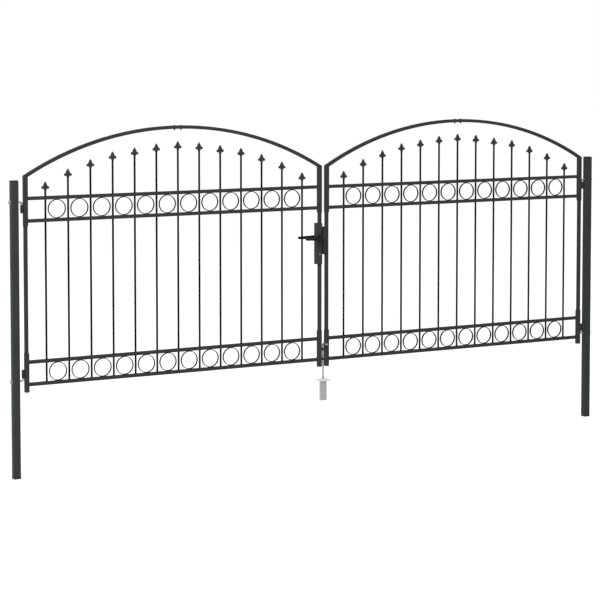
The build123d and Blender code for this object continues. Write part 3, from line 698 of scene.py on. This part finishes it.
def make_arch_half(name):
    """The hinge-side half: a rounded square section spun about the arch's centre and cut to the sleeve."""
    bpy.ops.mesh.primitive_plane_add(
        size=ARCH_TUBE,
        location=(LEAF_MIDDLE, 0, ARCH_CROWN_Z - ARCH_TUBE / 2),
        rotation=(0, math.pi / 2, 0),
    )
    arch = fresh(name)
    open_mesh(arch)
    bpy.ops.mesh.select_mode(type="VERT")
    bpy.ops.mesh.select_all(action="SELECT")
    bpy.ops.mesh.bevel(offset=TUBE_CORNER, segments=4, affect="VERTICES")
    bpy.ops.mesh.select_all(action="SELECT")
    sweep = math.asin(HALF_LEAF / ARCH_RADIUS) + math.radians(1)
    bpy.ops.mesh.spin(
        steps=56,
        angle=sweep,
        center=(LEAF_MIDDLE, 0, ARCH_CENTRE_Z),
        axis=(0, 1, 0),
    )
    close_mesh()
    face_outwards(arch)
    cut_at_arch(arch, False)
    face_outwards(arch)
    open_mesh(arch)
    pick_edges(arch, lambda a, b: min(a.x, b.x) > LEAF_MIDDLE - SAME_PLACE)
    bpy.ops.mesh.bevel(offset=ARCH_END_EDGE, segments=2, affect="EDGES")
    close_mesh()
    smooth(arch)
    return arch


hinge_half = make_arch_half("left_arch_hinge_half_bent")
meeting_half = mirrored(hinge_half, "left_arch_meeting_half_bent", LEAF_MIDDLE)
smooth(meeting_half)
both_leaves(hinge_half, "arch_hinge_half_bent", "powder_coat", "arch_hinge_half")
both_leaves(meeting_half, "arch_meeting_half_bent", "powder_coat", "arch_meeting_half")

# Upright bars, with weld beads where they meet the rails


def spear_tip_z(x):
    """The spear tips step down from the middle of the leaf to both its ends."""
    last_step = len(SPEAR_DROP_SHARES) - 1
    place = last_step * abs(x - LEAF_MIDDLE) / (LEAF_MIDDLE - BAR_PLACES[0])
    step = min(int(place), last_step - 1)
    near_share, far_share = SPEAR_DROP_SHARES[step : step + 2]
    share = near_share + (far_share - near_share) * (place - step)
    return RAIL_HEIGHTS[3] + SPEAR_CROWN - SPEAR_DROP * share


def make_bars():
    """One bar with its weld beads, copied along the leaf and drawn up to its own height."""
    first_x = BAR_PLACES[0]
    first_top = spear_tip_z(first_x) - SPEAR_HEIGHT
    bpy.ops.mesh.primitive_cylinder_add(
        vertices=24,
        radius=BAR_RADIUS,
        depth=first_top - BAR_FOOT,
        location=(first_x, 0, (first_top + BAR_FOOT) / 2),
    )
    bar = fresh("bar")
    parts = [bar]
    bead_heights = [BAR_FOOT]
    for z in RAIL_HEIGHTS[1:]:
        bead_heights += [z - RAIL / 2, z + RAIL / 2]
    bead = weld_round("bead", first_x, BAR_FOOT, BAR_BEAD_RADIUS)
    parts.append(bead)
    for z in bead_heights[1:]:
        parts.append(moved(copy_of(bead, "bead"), (0, 0, z - BAR_FOOT)))
    model = joined(parts, "bar_model")
    bars = []
    for x in BAR_PLACES:
        bar = moved(copy_of(model, "bar"), (x - first_x, 0, 0))
        rise = spear_tip_z(x) - SPEAR_HEIGHT - first_top
        open_mesh(bar)
        pick_points(bar, lambda p: p.z > first_top - 0.001)
        bpy.ops.transform.translate(value=(0, 0, rise))
        close_mesh()
        bars.append(bar)
    bpy.data.objects.remove(model)
    whole = joined(bars, "left_bars_round")
    smooth(whole)
    return both_leaves(whole, "bars_round", "bar_powder_coat", "bars")


make_bars()

# Spear finials


def make_spear():
    """A cast spear head: the core is drawn up to a blade, out to two lobes and down to the bar."""
    middle_x = BAR_PLACES[0]
    foot_z = spear_tip_z(middle_x) - SPEAR_HEIGHT
    core_low = foot_z + SPEAR_CORE_FOOT
    core_high = foot_z + SPEAR_CORE_TOP
    bpy.ops.mesh.primitive_cube_add(
        size=1,
        location=(middle_x, 0, (core_low + core_high) / 2),
        scale=(SPEAR_CORE_WIDTH, SPEAR_CORE_DEPTH, core_high - core_low),
    )
    spear = fresh("spear")
    open_mesh(spear)
    pick_faces(spear, lambda c, n: n.z > 0.9)
    top = core_high
    for rise, width, depth in BLADE_STEPS:
        top += rise
        bpy.ops.mesh.extrude_region_move(TRANSFORM_OT_translate={"value": (0, 0, rise)})
        bpy.ops.transform.resize(value=(width, depth, 1), center_override=(middle_x, 0, top))
    for way in (-1, 1):
        pick_faces(spear, lambda c, n: n.x * way > 0.9 and core_low < c.z < core_high)
        reach = SPEAR_CORE_WIDTH / 2
        for run, tall, depth in LOBE_STEPS:
            reach += run
            bpy.ops.mesh.extrude_region_move(TRANSFORM_OT_translate={"value": (way * run, 0, 0)})
            centre = (middle_x + way * reach, 0, (core_low + core_high) / 2)
            bpy.ops.transform.resize(value=(1, depth, tall), center_override=centre)
    pick_faces(spear, lambda c, n: n.z < -0.9 and abs(c.x - middle_x) < 0.001)
    bpy.ops.mesh.extrude_region_move(TRANSFORM_OT_translate={"value": (0, 0, foot_z - core_low)})
    bpy.ops.transform.resize(value=(0.68, 1.28, 1), center_override=(middle_x, 0, foot_z))
    bpy.ops.mesh.extrude_region_move(TRANSFORM_OT_translate={"value": (0, 0, -SPEAR_LAP)})
    close_mesh()
    apply_modifier(spear, "BEVEL", width=0.0011, segments=3, limit_method="ANGLE", angle_limit=0.35)
    return spear


def make_spears():
    model = make_spear()
    first_x = BAR_PLACES[0]
    spears = []
    for x in BAR_PLACES:
        shift = (x - first_x, 0, spear_tip_z(x) - spear_tip_z(first_x))
        spears.append(moved(copy_of(model, "spear"), shift))
    bpy.data.objects.remove(model)
    whole = joined(spears, "left_finials_cast")
    smooth(whole, 60)
    return both_leaves(whole, "finials_cast", "powder_coat", "finials")


make_spears()

# Rings of flat strip between the rails


def make_ring(x, z):
    """A strip rolled into a ring, with softened edges, and welded to the rails above and below."""
    bpy.ops.mesh.primitive_cylinder_add(
        vertices=72,
        radius=RING_OUTER,
        depth=RING_DEPTH,
        end_fill_type="NOTHING",
        location=(x, 0, z),
        rotation=(math.pi / 2, 0, 0),
    )
    ring = fresh("ring")
    apply_modifier(ring, "SOLIDIFY", thickness=RING_STRIP, offset=-1)
    apply_modifier(ring, "BEVEL", width=0.0007, segments=2, limit_method="ANGLE")
    beads = []
    for way in (-1, 1):
        bpy.ops.mesh.primitive_uv_sphere_add(
            segments=16,
            ring_count=8,
            radius=1,
            location=(x, 0, z + way * (RING_OUTER - RING_BEAD_SINK)),
            scale=RING_BEAD,
        )
        beads.append(fresh("ring_bead"))
    return joined([ring, *beads], "ring")


def make_rings(name, lower_rail):
    z = RAIL_HEIGHTS[lower_rail] + (RAIL_HEIGHTS[1] - RAIL_HEIGHTS[0]) / 2
    model = make_ring(RING_PLACES[0], z)
    rings = [moved(copy_of(model, "ring"), (x - RING_PLACES[0], 0, 0)) for x in RING_PLACES]
    bpy.data.objects.remove(model)
    whole = joined(rings, f"left_{name}_rolled")
    smooth(whole, 40)
    return both_leaves(whole, f"{name}_rolled", "bar_powder_coat", name)


make_rings("lower_rings", 0)
make_rings("upper_rings", 2)

# Hinge hooks with their nuts and washers


def bent_rod(name, start, corner, end, radius, bend, chamfer):
    """A round rod from start to end with one rounded corner: extruded, spun round the bend and extruded."""
    start, corner, end = Vector(start), Vector(corner), Vector(end)
    first = (corner - start).normalized()
    second = (end - corner).normalized()
    bend_start = corner - first * bend
    bend_centre = bend_start + second * bend
    turn = Vector((0, 0, 1)).rotation_difference(first).to_euler()
    bpy.ops.mesh.primitive_circle_add(
        vertices=32, radius=radius, fill_type="NGON", location=start, rotation=turn
    )
    rod = fresh(name)
    open_mesh(rod)
    bpy.ops.mesh.select_all(action="SELECT")
    run = bend_start - start
    bpy.ops.mesh.extrude_region_move(TRANSFORM_OT_translate={"value": run})
    axis = first.cross(second)
    bpy.ops.mesh.spin(steps=16, angle=-math.pi / 2, center=bend_centre, axis=axis)
    mesh = bmesh.from_edit_mesh(rod.data)
    picked = [v.co.copy() for v in mesh.verts if v.select]
    middle = sum(picked, Vector()) / len(picked)
    bpy.ops.mesh.extrude_region_move(TRANSFORM_OT_translate={"value": end - middle})
    close_mesh()
    face_outwards(rod)
    open_mesh(rod)
    pick_edges(
        rod,
        lambda a, b: any(
            abs((a - tip).dot(way)) < SAME_PLACE and abs((b - tip).dot(way)) < SAME_PLACE
            for tip, way in ((start, first), (end, second))
        ),
    )
    bpy.ops.mesh.bevel(offset=chamfer, segments=2, affect="EDGES")
    close_mesh()
    return rod


def make_nut(name, centre, across, thick):
    """A hexagon nut with chamfered corners, its axis along X."""
    bpy.ops.mesh.primitive_cylinder_add(
        vertices=6,
        radius=across / math.sqrt(3),
        depth=thick,
        location=centre,
        rotation=(0, math.pi / 2, 0),
    )
    nut = fresh(name)
    open_mesh(nut)
    pick_edges(nut, lambda a, b: abs(a.x - b.x) < SAME_PLACE)
    bpy.ops.mesh.bevel(offset=0.0011, segments=2, affect="EDGES")
    pick_faces(nut, lambda c, n: abs(n.x) > 0.98)
    bpy.ops.mesh.inset(thickness=0.0016)
    close_mesh()
    return nut


def make_washer(name, centre, radius, thick):
    """A thin disc with softened rims, its axis along X."""
    bpy.ops.mesh.primitive_cylinder_add(
        vertices=40, radius=radius, depth=thick, location=centre, rotation=(0, math.pi / 2, 0)
    )
    washer = fresh(name)
    open_mesh(washer)
    pick_edges(washer, lambda a, b: abs(a.x - b.x) < SAME_PLACE)
    bpy.ops.mesh.bevel(offset=0.0004, segments=2, affect="EDGES")
    close_mesh()
    return washer


def make_hook(z, way, barrel_z):
    """A hook through the post, with its pin turned up or down, and its washer and nut outside."""
    start = (HOOK_TAIL_X, 0, z)
    corner = (HINGE_AXIS_X, 0, z)
    end = (HINGE_AXIS_X, 0, barrel_z + way * (BARREL_HALF - HOOK_END_GAP))
    rod = bent_rod("hook", start, corner, end, HOOK_RADIUS, HOOK_BEND, HOOK_CHAMFER)
    washer_x = -POST_HALF - HOOK_WASHER / 2
    washer = make_washer("hook_washer", (washer_x, 0, z), HOOK_WASHER_RADIUS, HOOK_WASHER)
    nut_x = -POST_HALF - HOOK_WASHER - HOOK_NUT / 2
    nut = make_nut("hook_nut", (nut_x, 0, z), HOOK_NUT_ACROSS, HOOK_NUT)
    return [rod, washer, nut]


hook_parts = make_hook(UPPER_HOOK_Z, -1, UPPER_BARREL_Z) + make_hook(LOWER_HOOK_Z, 1, LOWER_BARREL_Z)
left_hooks = joined(hook_parts, "left_hinge_hooks_zinc")
smooth(left_hooks)
right_hooks = mirrored(left_hooks, "right_hinge_hooks_zinc", MIDDLE)
smooth(right_hooks)
finish_piece(left_hooks, "posts", "zinc_plated", ("left_hinge_hooks",))
finish_piece(right_hooks, "posts", "zinc_plated", ("right_hinge_hooks",))

# Hinge barrels on the sleeves


def make_barrel(z):
    """A bored barrel with softened rims, and the seat that welds it to the sleeve."""
    bpy.ops.mesh.primitive_cylinder_add(
        vertices=48,
        radius=BARREL_RADIUS,
        depth=2 * BARREL_HALF,
        end_fill_type="NOTHING",
        location=(HINGE_AXIS_X, 0, z),
    )
    barrel = fresh("barrel")
    apply_modifier(barrel, "SOLIDIFY", thickness=BARREL_WALL, offset=-1)
    ease_edges(barrel, 0.0006)
    sleeve_face = HINGE_STILE_X - SLEEVE_OUTER
    seat_half = BARREL_HALF - BARREL_SEAT_SHORT
    low = (HINGE_AXIS_X + BARREL_SEAT_START, -BARREL_SEAT_HALF, z - seat_half)
    seat = block("barrel_seat", low, (sleeve_face, BARREL_SEAT_HALF, z + seat_half))
    ease_edges(seat, 0.0008)
    return [barrel, seat]


barrels = joined(make_barrel(UPPER_BARREL_Z) + make_barrel(LOWER_BARREL_Z), "left_hinge_barrels_turned")
smooth(barrels)
both_leaves(barrels, "hinge_barrels_turned", "powder_coat", "hinge_barrels")

# Posts with their caps


def make_post(name, node, slots):
    """A square post with rounded corners, and slots in its outer face where it has them."""
    low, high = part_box(node)
    post = square_tube(name, low, high, 2, POST_CORNER)
    for foot, top in slots:
        slot_low = (low.x - CUT_PAST, -STRIKE_SLOT_HALF, foot)
        slot_high = (low.x + STRIKE_SLOT_DEPTH, STRIKE_SLOT_HALF, top)
        cut_with(post, block("slot", slot_low, slot_high))
    smooth(post)
    return finish_piece(post, "posts", "post_powder_coat", (node,))


def make_post_cap(name, node):
    """A flat cap with rounded corners and a softened top edge."""
    low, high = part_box(node)
    cap = square_tube(name, (low.x, low.y, high.z - CAP_FLANGE), high, 2, POST_CORNER)
    open_mesh(cap)
    pick_edges(cap, lambda a, b: min(a.z, b.z) > high.z - SAME_PLACE)
    bpy.ops.mesh.bevel(offset=CAP_TOP_EDGE, segments=3, affect="EDGES")
    pick_edges(cap, lambda a, b: max(a.z, b.z) < high.z - CAP_FLANGE + SAME_PLACE)
    bpy.ops.mesh.bevel(offset=CAP_LOW_EDGE, segments=2, affect="EDGES")
    close_mesh()
    smooth(cap)
    return finish_piece(cap, "posts", "black_plastic", (node,))


make_post("left_post_tube", "left_post", STRIKE_SLOTS)
make_post("right_post_tube", "right_post", ())
make_post_cap("left_post_cap_moulded", "left_post_cap")
make_post_cap("right_post_cap_moulded", "right_post_cap")

# Splice bolts at the arch's crown


def make_splice_bolt():
    """A dome-headed bolt with its shank, and its nut under the arch."""
    x = LEAF_MIDDLE - SPLICE_BOLT_X
    top = ARCH_CENTRE_Z + math.sqrt(ARCH_RADIUS**2 - SPLICE_BOLT_X**2)
    bpy.ops.mesh.primitive_uv_sphere_add(
        segments=24,
        ring_count=12,
        radius=SPLICE_HEAD_RADIUS,
        location=(x, 0, top),
        scale=(1, 1, 0.76),
    )
    head = fresh("splice_head")
    open_mesh(head)
    bpy.ops.mesh.select_all(action="SELECT")
    bpy.ops.mesh.bisect(
        plane_co=(x, 0, top - SPLICE_HEAD_SINK), plane_no=(0, 0, 1), use_fill=True, clear_inner=True
    )
    close_mesh()
    under = ARCH_CROWN_Z - ARCH_TUBE
    nut = make_nut("splice_nut", (0, 0, 0), SPLICE_NUT_ACROSS, SPLICE_NUT)
    nut.rotation_euler = (0, math.pi / 2, 0)
    nut.location = (x, 0, under - SPLICE_NUT / 2)
    take(nut)
    bpy.ops.object.transform_apply(location=True, rotation=True, scale=False)
    bpy.ops.mesh.primitive_cylinder_add(
        vertices=20, radius=SPLICE_SHANK_RADIUS, depth=0.009, location=(x, 0, under - 0.0033)
    )
    shank = fresh("splice_shank")
    open_mesh(shank)
    pick_edges(shank, lambda a, b: max(a.z, b.z) < under - 0.006)
    bpy.ops.mesh.bevel(offset=0.0006, segments=1, affect="EDGES")
    close_mesh()
    return joined([head, nut, shank], "splice_bolt")


splice_bolt = make_splice_bolt()
splice_pair = joined(
    [splice_bolt, mirrored(splice_bolt, "splice_other", LEAF_MIDDLE)], "left_arch_bolts_domed"
)
smooth(splice_pair)
both_leaves(splice_pair, "arch_bolts_domed", "black_fastener", "arch_bolts")

# Lever handles on their roses


def make_lever():
    """The front lever: a disc drawn out to a tapered grip with rounded rims, on a flared neck."""
    middle_y = -(LEVER_NEAR + LEVER_FAR) / 2
    grip = disc_along_y("lever_grip", LEVER_ROOT / 2, (LOCK_X, middle_y, SPINDLE_Z), LEVER_FAR - LEVER_NEAR)
    tip_x = LOCK_X - LEVER_REACH + LEVER_TIP / 2
    share = LEVER_TIP / LEVER_ROOT
    open_mesh(grip)
    pick_points(grip, lambda p: p.x < LOCK_X - SAME_PLACE)
    bpy.ops.transform.translate(value=(tip_x - LOCK_X, 0, 0))
    bpy.ops.transform.resize(value=(share, 1, share), center_override=(tip_x, middle_y, SPINDLE_Z))
    pick_edges(grip, lambda a, b: abs(a.y - b.y) < SAME_PLACE)
    bpy.ops.mesh.bevel(offset=LEVER_EDGE, segments=4, affect="EDGES")
    close_mesh()
    length = LEVER_NEAR - LEVER_FLARE - NECK_FOOT
    neck = disc_along_y("lever_neck", NECK_RADIUS, (LOCK_X, -NECK_FOOT - length / 2, SPINDLE_Z), length)
    open_mesh(neck)
    pick_faces(neck, lambda c, n: n.y < -0.9)
    bpy.ops.mesh.extrude_region_move(TRANSFORM_OT_translate={"value": (0, -LEVER_FLARE - LEVER_LAP, 0)})
    centre = (LOCK_X, -LEVER_NEAR, SPINDLE_Z)
    flared = (LEVER_FLARE_SHARE, 1, LEVER_FLARE_SHARE)
    bpy.ops.transform.resize(value=flared, center_override=centre)
    close_mesh()
    lever = joined([grip, neck], "front_lever_cast")
    smooth(lever, 50)
    return lever


front_lever = make_lever()
back_lever = flipped(front_lever, "back_lever_cast")
smooth(back_lever, 50)
finish_piece(front_lever, "lever_handle", "lever_black", ("front_lever",))
finish_piece(back_lever, "lever_handle", "lever_black", ("back_lever",))


def make_rose():
    """The front rose: a round plate with a softened rim, bored for the lever's neck."""
    middle_y = -(ROSE_FACE + LOCK_HALF_DEPTH) / 2
    bore = NECK_RADIUS + ROSE_PLAY
    rose = disc_along_y("rose", ROSE_RADIUS, (LOCK_X, middle_y, SPINDLE_Z), ROSE_FACE - LOCK_HALF_DEPTH)
    open_mesh(rose)
    pick_edges(rose, lambda a, b: max(a.y, b.y) < -ROSE_FACE + SAME_PLACE)
    bpy.ops.mesh.bevel(offset=ROSE_RIM, segments=4, affect="EDGES")
    pick_faces(rose, lambda c, n: n.y < -0.99)
    bpy.ops.mesh.inset(thickness=ROSE_RADIUS - ROSE_RIM - bore)
    pick_faces(rose, lambda c, n: n.y > 0.99)
    bpy.ops.mesh.inset(thickness=ROSE_RADIUS - bore)
    axis = Vector((LOCK_X, 0, SPINDLE_Z))
    pick_faces(rose, lambda c, n: abs(n.y) > 0.99 and abs(c.x - axis.x) + abs(c.z - axis.z) < 1e-4)
    bpy.ops.mesh.bridge_edge_loops()
    close_mesh()
    face_outwards(rose)
    return rose


front_rose = make_rose()
roses = joined([front_rose, flipped(front_rose, "back_rose")], "lever_roses_turned")
smooth(roses)
finish_piece(roses, "left_leaf", "lever_black", ("lever_roses",))

# Key cylinder, keeper and the ends of the lock's bolts


def make_key_cylinder():
    """A round cylinder with a ring groove about its plug, and a keyway through it."""
    low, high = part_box("key_cylinder")
    centre = (low + high) / 2
    cylinder = disc_along_y("key_cylinder_turned", (high.z - low.z) / 2, centre, high.y - low.y)
    ease_edges(cylinder, 0.0007)
    open_mesh(cylinder)
    for way in (-1, 1):
        pick_faces(cylinder, lambda c, n: n.y * way > 0.99)
        bpy.ops.mesh.inset(thickness=0.0014)
        bpy.ops.mesh.inset(thickness=0.0005)
        bpy.ops.mesh.extrude_region_move(TRANSFORM_OT_translate={"value": (0, 0, 0)})
        bpy.ops.mesh.inset(thickness=0.0004)
        bpy.ops.transform.translate(value=(0, way * 0.0006, 0))
    close_mesh()
    slot_low = (centre.x - KEYWAY_HALF_WIDTH, low.y - CUT_PAST, centre.z - KEYWAY_HALF_HEIGHT)
    slot_high = (centre.x + KEYWAY_HALF_WIDTH, high.y + CUT_PAST, centre.z + KEYWAY_HALF_HEIGHT)
    cut_with(cylinder, block("keyway", slot_low, slot_high))
    smooth(cylinder)
    return finish_piece(cylinder, "left_leaf", "nickel_plated", ("key_cylinder",))


make_key_cylinder()


def make_keeper():
    """A block on the other leaf with a pocket for the latch and the deadbolt."""
    low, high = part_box("lock_keeper")
    centre = (low + high) / 2
    keeper = block("lock_keeper_eased", low, high)
    open_mesh(keeper)
    pick_faces(keeper, lambda c, n: n.x < -0.9)
    bpy.ops.mesh.extrude_region_move(TRANSFORM_OT_translate={"value": (0, 0, 0)})
    wide = KEEPER_POCKET_WIDTH / (high.y - low.y)
    tall = KEEPER_POCKET_HEIGHT / (high.z - low.z)
    bpy.ops.transform.resize(value=(1, wide, tall), center_override=(low.x, 0, centre.z))
    bpy.ops.mesh.extrude_region_move(TRANSFORM_OT_translate={"value": (KEEPER_POCKET_DEPTH, 0, 0)})
    close_mesh()
    ease_edges(keeper, 0.0011, 3)
    smooth(keeper)
    return finish_piece(keeper, "right_leaf", "powder_coat", ("lock_keeper",))


make_keeper()


def make_bolt_end(name, opening, slant):
    """The end of a bolt in its opening in the faceplate; the latch's end is slanted."""
    plate_low, plate_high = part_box("lock_faceplate")
    foot, top = opening
    low = (plate_low.x, -LOCK_BOLT_HALF, foot + LOCK_BOLT_PLAY)
    high = (plate_high.x - LOCK_BOLT_SINK, LOCK_BOLT_HALF, top - LOCK_BOLT_PLAY)
    end = block(name, low, high)
    open_mesh(end)
    pick_points(end, lambda p: p.x > plate_low.x + 0.001 and p.y < 0)
    bpy.ops.transform.translate(value=(-slant, 0, 0))
    close_mesh()
    ease_edges(end, 0.0003)
    return end


def make_faceplate_screw(z):
    """A small pan-head screw with a round socket, its axis along X."""
    centre = (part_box("lock_faceplate")[1].x - 0.0001, 0, z)
    head = make_washer("faceplate_screw", centre, FACEPLATE_SCREW_RADIUS, FACEPLATE_SCREW_HEAD)
    open_mesh(head)
    pick_faces(head, lambda c, n: n.x > 0.99)
    bpy.ops.mesh.inset(thickness=0.0013)
    bpy.ops.mesh.extrude_region_move(TRANSFORM_OT_translate={"value": (-0.0006, 0, 0)})
    close_mesh()
    return head


lock_ends = [
    make_bolt_end("latch_end", LATCH_OPENING, LATCH_SLANT),
    make_bolt_end("deadbolt_end", DEADBOLT_OPENING, 0.0),
    *[make_faceplate_screw(z) for z in FACEPLATE_SCREW_HEIGHTS],
]
lock_details = joined(lock_ends, "lock_bolt_ends")
smooth(lock_details)
finish_piece(lock_details, "left_leaf", "nickel_plated")

lock_beads = []
for bead_z in (lock_low.z, lock_high.z):
    lock_beads.append(weld_square("lock_bead", (MEETING_STILE_X, 0, bead_z), STILE / 2, (0, 0, 0)))
lock_welds = joined(lock_beads, "lock_case_welds")
smooth(lock_welds)
finish_piece(lock_welds, "left_leaf", "powder_coat")

# Drop bolt

drop_rod = bent_rod(
    "drop_rod_bent",
    (ROD_X, 0, ROD_TIP_Z),
    (ROD_X, 0, ROD_HANDLE_Z),
    (ROD_X, ROD_HANDLE_Y, ROD_HANDLE_Z),
    ROD_RADIUS,
    ROD_BEND,
    ROD_CHAMFER,
)
smooth(drop_rod)
finish_piece(drop_rod, "drop_bolt", "zinc_plated", ("drop_rod",))

# Ground socket


def make_socket_plate():
    """The plate with its rounded corners and ear holes; its square mouth is cut afterwards."""
    low = (ROD_X - SOCKET_PLATE_HALF_X, -SOCKET_PLATE_HALF_Y, SOCKET_PLATE_LOW)
    high = (ROD_X + SOCKET_PLATE_HALF_X, SOCKET_PLATE_HALF_Y, SOCKET_PLATE_TOP)
    plate = square_tube("socket_plate", low, high, 2, SOCKET_PLATE_CORNER)
    for x in (ROD_X - EAR_HOLE_X, ROD_X + EAR_HOLE_X):
        bpy.ops.mesh.primitive_cylinder_add(
            vertices=32, radius=EAR_HOLE_RADIUS, depth=EAR_CUT, location=(x, 0, SOCKET_PLATE_TOP)
        )
        cut_with(plate, fresh("ear_hole"))
    ease_edges(plate, 0.0004)
    return plate


def make_socket_collar():
    """The round collar on the plate, with a rounded top edge."""
    height = SOCKET_RIM - SOCKET_PLATE_TOP
    bpy.ops.mesh.primitive_cylinder_add(
        vertices=48,
        radius=COLLAR_RADIUS,
        depth=height,
        location=(ROD_X, 0, SOCKET_RIM - height / 2),
    )
    collar = fresh("socket_collar")
    open_mesh(collar)
    pick_edges(collar, lambda a, b: min(a.z, b.z) > SOCKET_RIM - SAME_PLACE)
    bpy.ops.mesh.bevel(offset=COLLAR_EDGE, segments=4, affect="EDGES")
    close_mesh()
    return collar


def make_socket_tube():
    """The tube below the plate, with rounded corners and open ends."""
    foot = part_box("ground_socket")[0].z
    low = (ROD_X - SOCKET_TUBE_HALF_X, -SOCKET_TUBE_HALF_Y, foot)
    high = (ROD_X + SOCKET_TUBE_HALF_X, SOCKET_TUBE_HALF_Y, SOCKET_PLATE_LOW)
    tube = square_tube("socket_tube", low, high, 2, SOCKET_TUBE_CORNER)
    open_mesh(tube)
    for way in (-1, 1):
        pick_faces(tube, lambda c, n: n.z * way > 0.9)
        bpy.ops.mesh.inset(thickness=SOCKET_TUBE_WALL)
    pick_faces(tube, lambda c, n: abs(n.z) > 0.9 and abs(c.x - ROD_X) + abs(c.y) < 1e-4)
    bpy.ops.mesh.bridge_edge_loops()
    close_mesh()
    face_outwards(tube)
    return tube


def make_ground_socket():
    """The socket's plate and collar with the mouth through both, and the tube below."""
    half = SOCKET_MOUTH / 2
    low = (ROD_X - half, -half, SOCKET_PLATE_LOW - MOUTH_CUT_PAST)
    high = (ROD_X + half, half, SOCKET_RIM + MOUTH_CUT_PAST)
    mouthed = [make_socket_plate(), make_socket_collar()]
    for part in mouthed:
        cut_with(part, block("mouth", low, high))
    socket = joined([*mouthed, make_socket_tube()], "ground_socket_dipped")
    smooth(socket)
    return finish_piece(socket, "posts", "galvanised", ("ground_socket",))


make_ground_socket()

# Finishes of the nodes that stay

for row in frame["record"]["subparts"]:
    node = nodes[row["node"]]
    node.data.materials.clear()
    node.data.materials.append(FINISHES[row["material_slot"]])

# Camera, from the left and a little above

camera_data = bpy.data.cameras.new("camera")
camera = bpy.data.objects.new("camera", camera_data)
bpy.context.scene.collection.objects.link(camera)
camera.location = CAMERA_PLACE
camera.rotation_euler = (math.radians(90 - CAMERA_PITCH), 0, math.radians(CAMERA_HEADING))
camera_data.sensor_width = 36
camera_data.lens = CAMERA_LENS
camera_data.shift_y = CAMERA_SHIFT
camera_data.clip_end = 200
bpy.context.scene.camera = camera

# Pale floor and soft light


def seen_share(tree):
    """One for what is seen straight or in a reflection, and nought for the light that falls on pieces."""
    path = tree.nodes.new("ShaderNodeLightPath")
    total = path.outputs["Is Camera Ray"]
    for kind in ("Is Glossy Ray", "Is Transmission Ray"):
        adder = tree.nodes.new("ShaderNodeMath")
        adder.operation = "ADD"
        tree.links.new(total, adder.inputs[0])
        tree.links.new(path.outputs[kind], adder.inputs[1])
        total = adder.outputs["Value"]
    return total


bpy.ops.mesh.primitive_plane_add(size=120, location=(2, 0, -0.0005))
floor = fresh("floor")

floor_material = bpy.data.materials.new("floor_white")
floor_material.use_nodes = True
floor_tree = floor_material.node_tree
floor_shader = floor_tree.nodes["Principled BSDF"]
floor_shader.inputs["Base Color"].default_value = (0.8, 0.8, 0.8, 1)
floor_shader.inputs["Roughness"].default_value = 0.9
floor_shader.inputs["Specular IOR Level"].default_value = 0.0
floor_shader.inputs["Emission Color"].default_value = (1, 1, 1, 1)
glow = floor_tree.nodes.new("ShaderNodeMath")
glow.operation = "MULTIPLY"
glow.inputs[1].default_value = FLOOR_GLOW
floor_tree.links.new(seen_share(floor_tree), glow.inputs[0])
floor_tree.links.new(glow.outputs["Value"], floor_shader.inputs["Emission Strength"])
floor.data.materials.append(floor_material)

world = bpy.data.worlds.new("studio")
bpy.context.scene.world = world
world.use_nodes = True
sky_tree = world.node_tree
sky = sky_tree.nodes["Background"]
sky.inputs["Color"].default_value = (1, 1, 1, 1)
level = sky_tree.nodes.new("ShaderNodeMapRange")
level.inputs["To Min"].default_value = SKY_LIGHT
level.inputs["To Max"].default_value = 1.0
sky_tree.links.new(seen_share(sky_tree), level.inputs["Value"])
sky_tree.links.new(level.outputs["Result"], sky.inputs["Strength"])

lamp_data = bpy.data.lights.new("key", "AREA")
lamp_data.energy = 900
lamp_data.size = 6
lamp = bpy.data.objects.new("key", lamp_data)
bpy.context.scene.collection.objects.link(lamp)
lamp.location = LAMP_PLACE
aim = Vector(LAMP_TARGET) - lamp.location
lamp.rotation_euler = aim.to_track_quat("-Z", "Y").to_euler()

bpy.context.scene.view_settings.view_transform = "Standard"
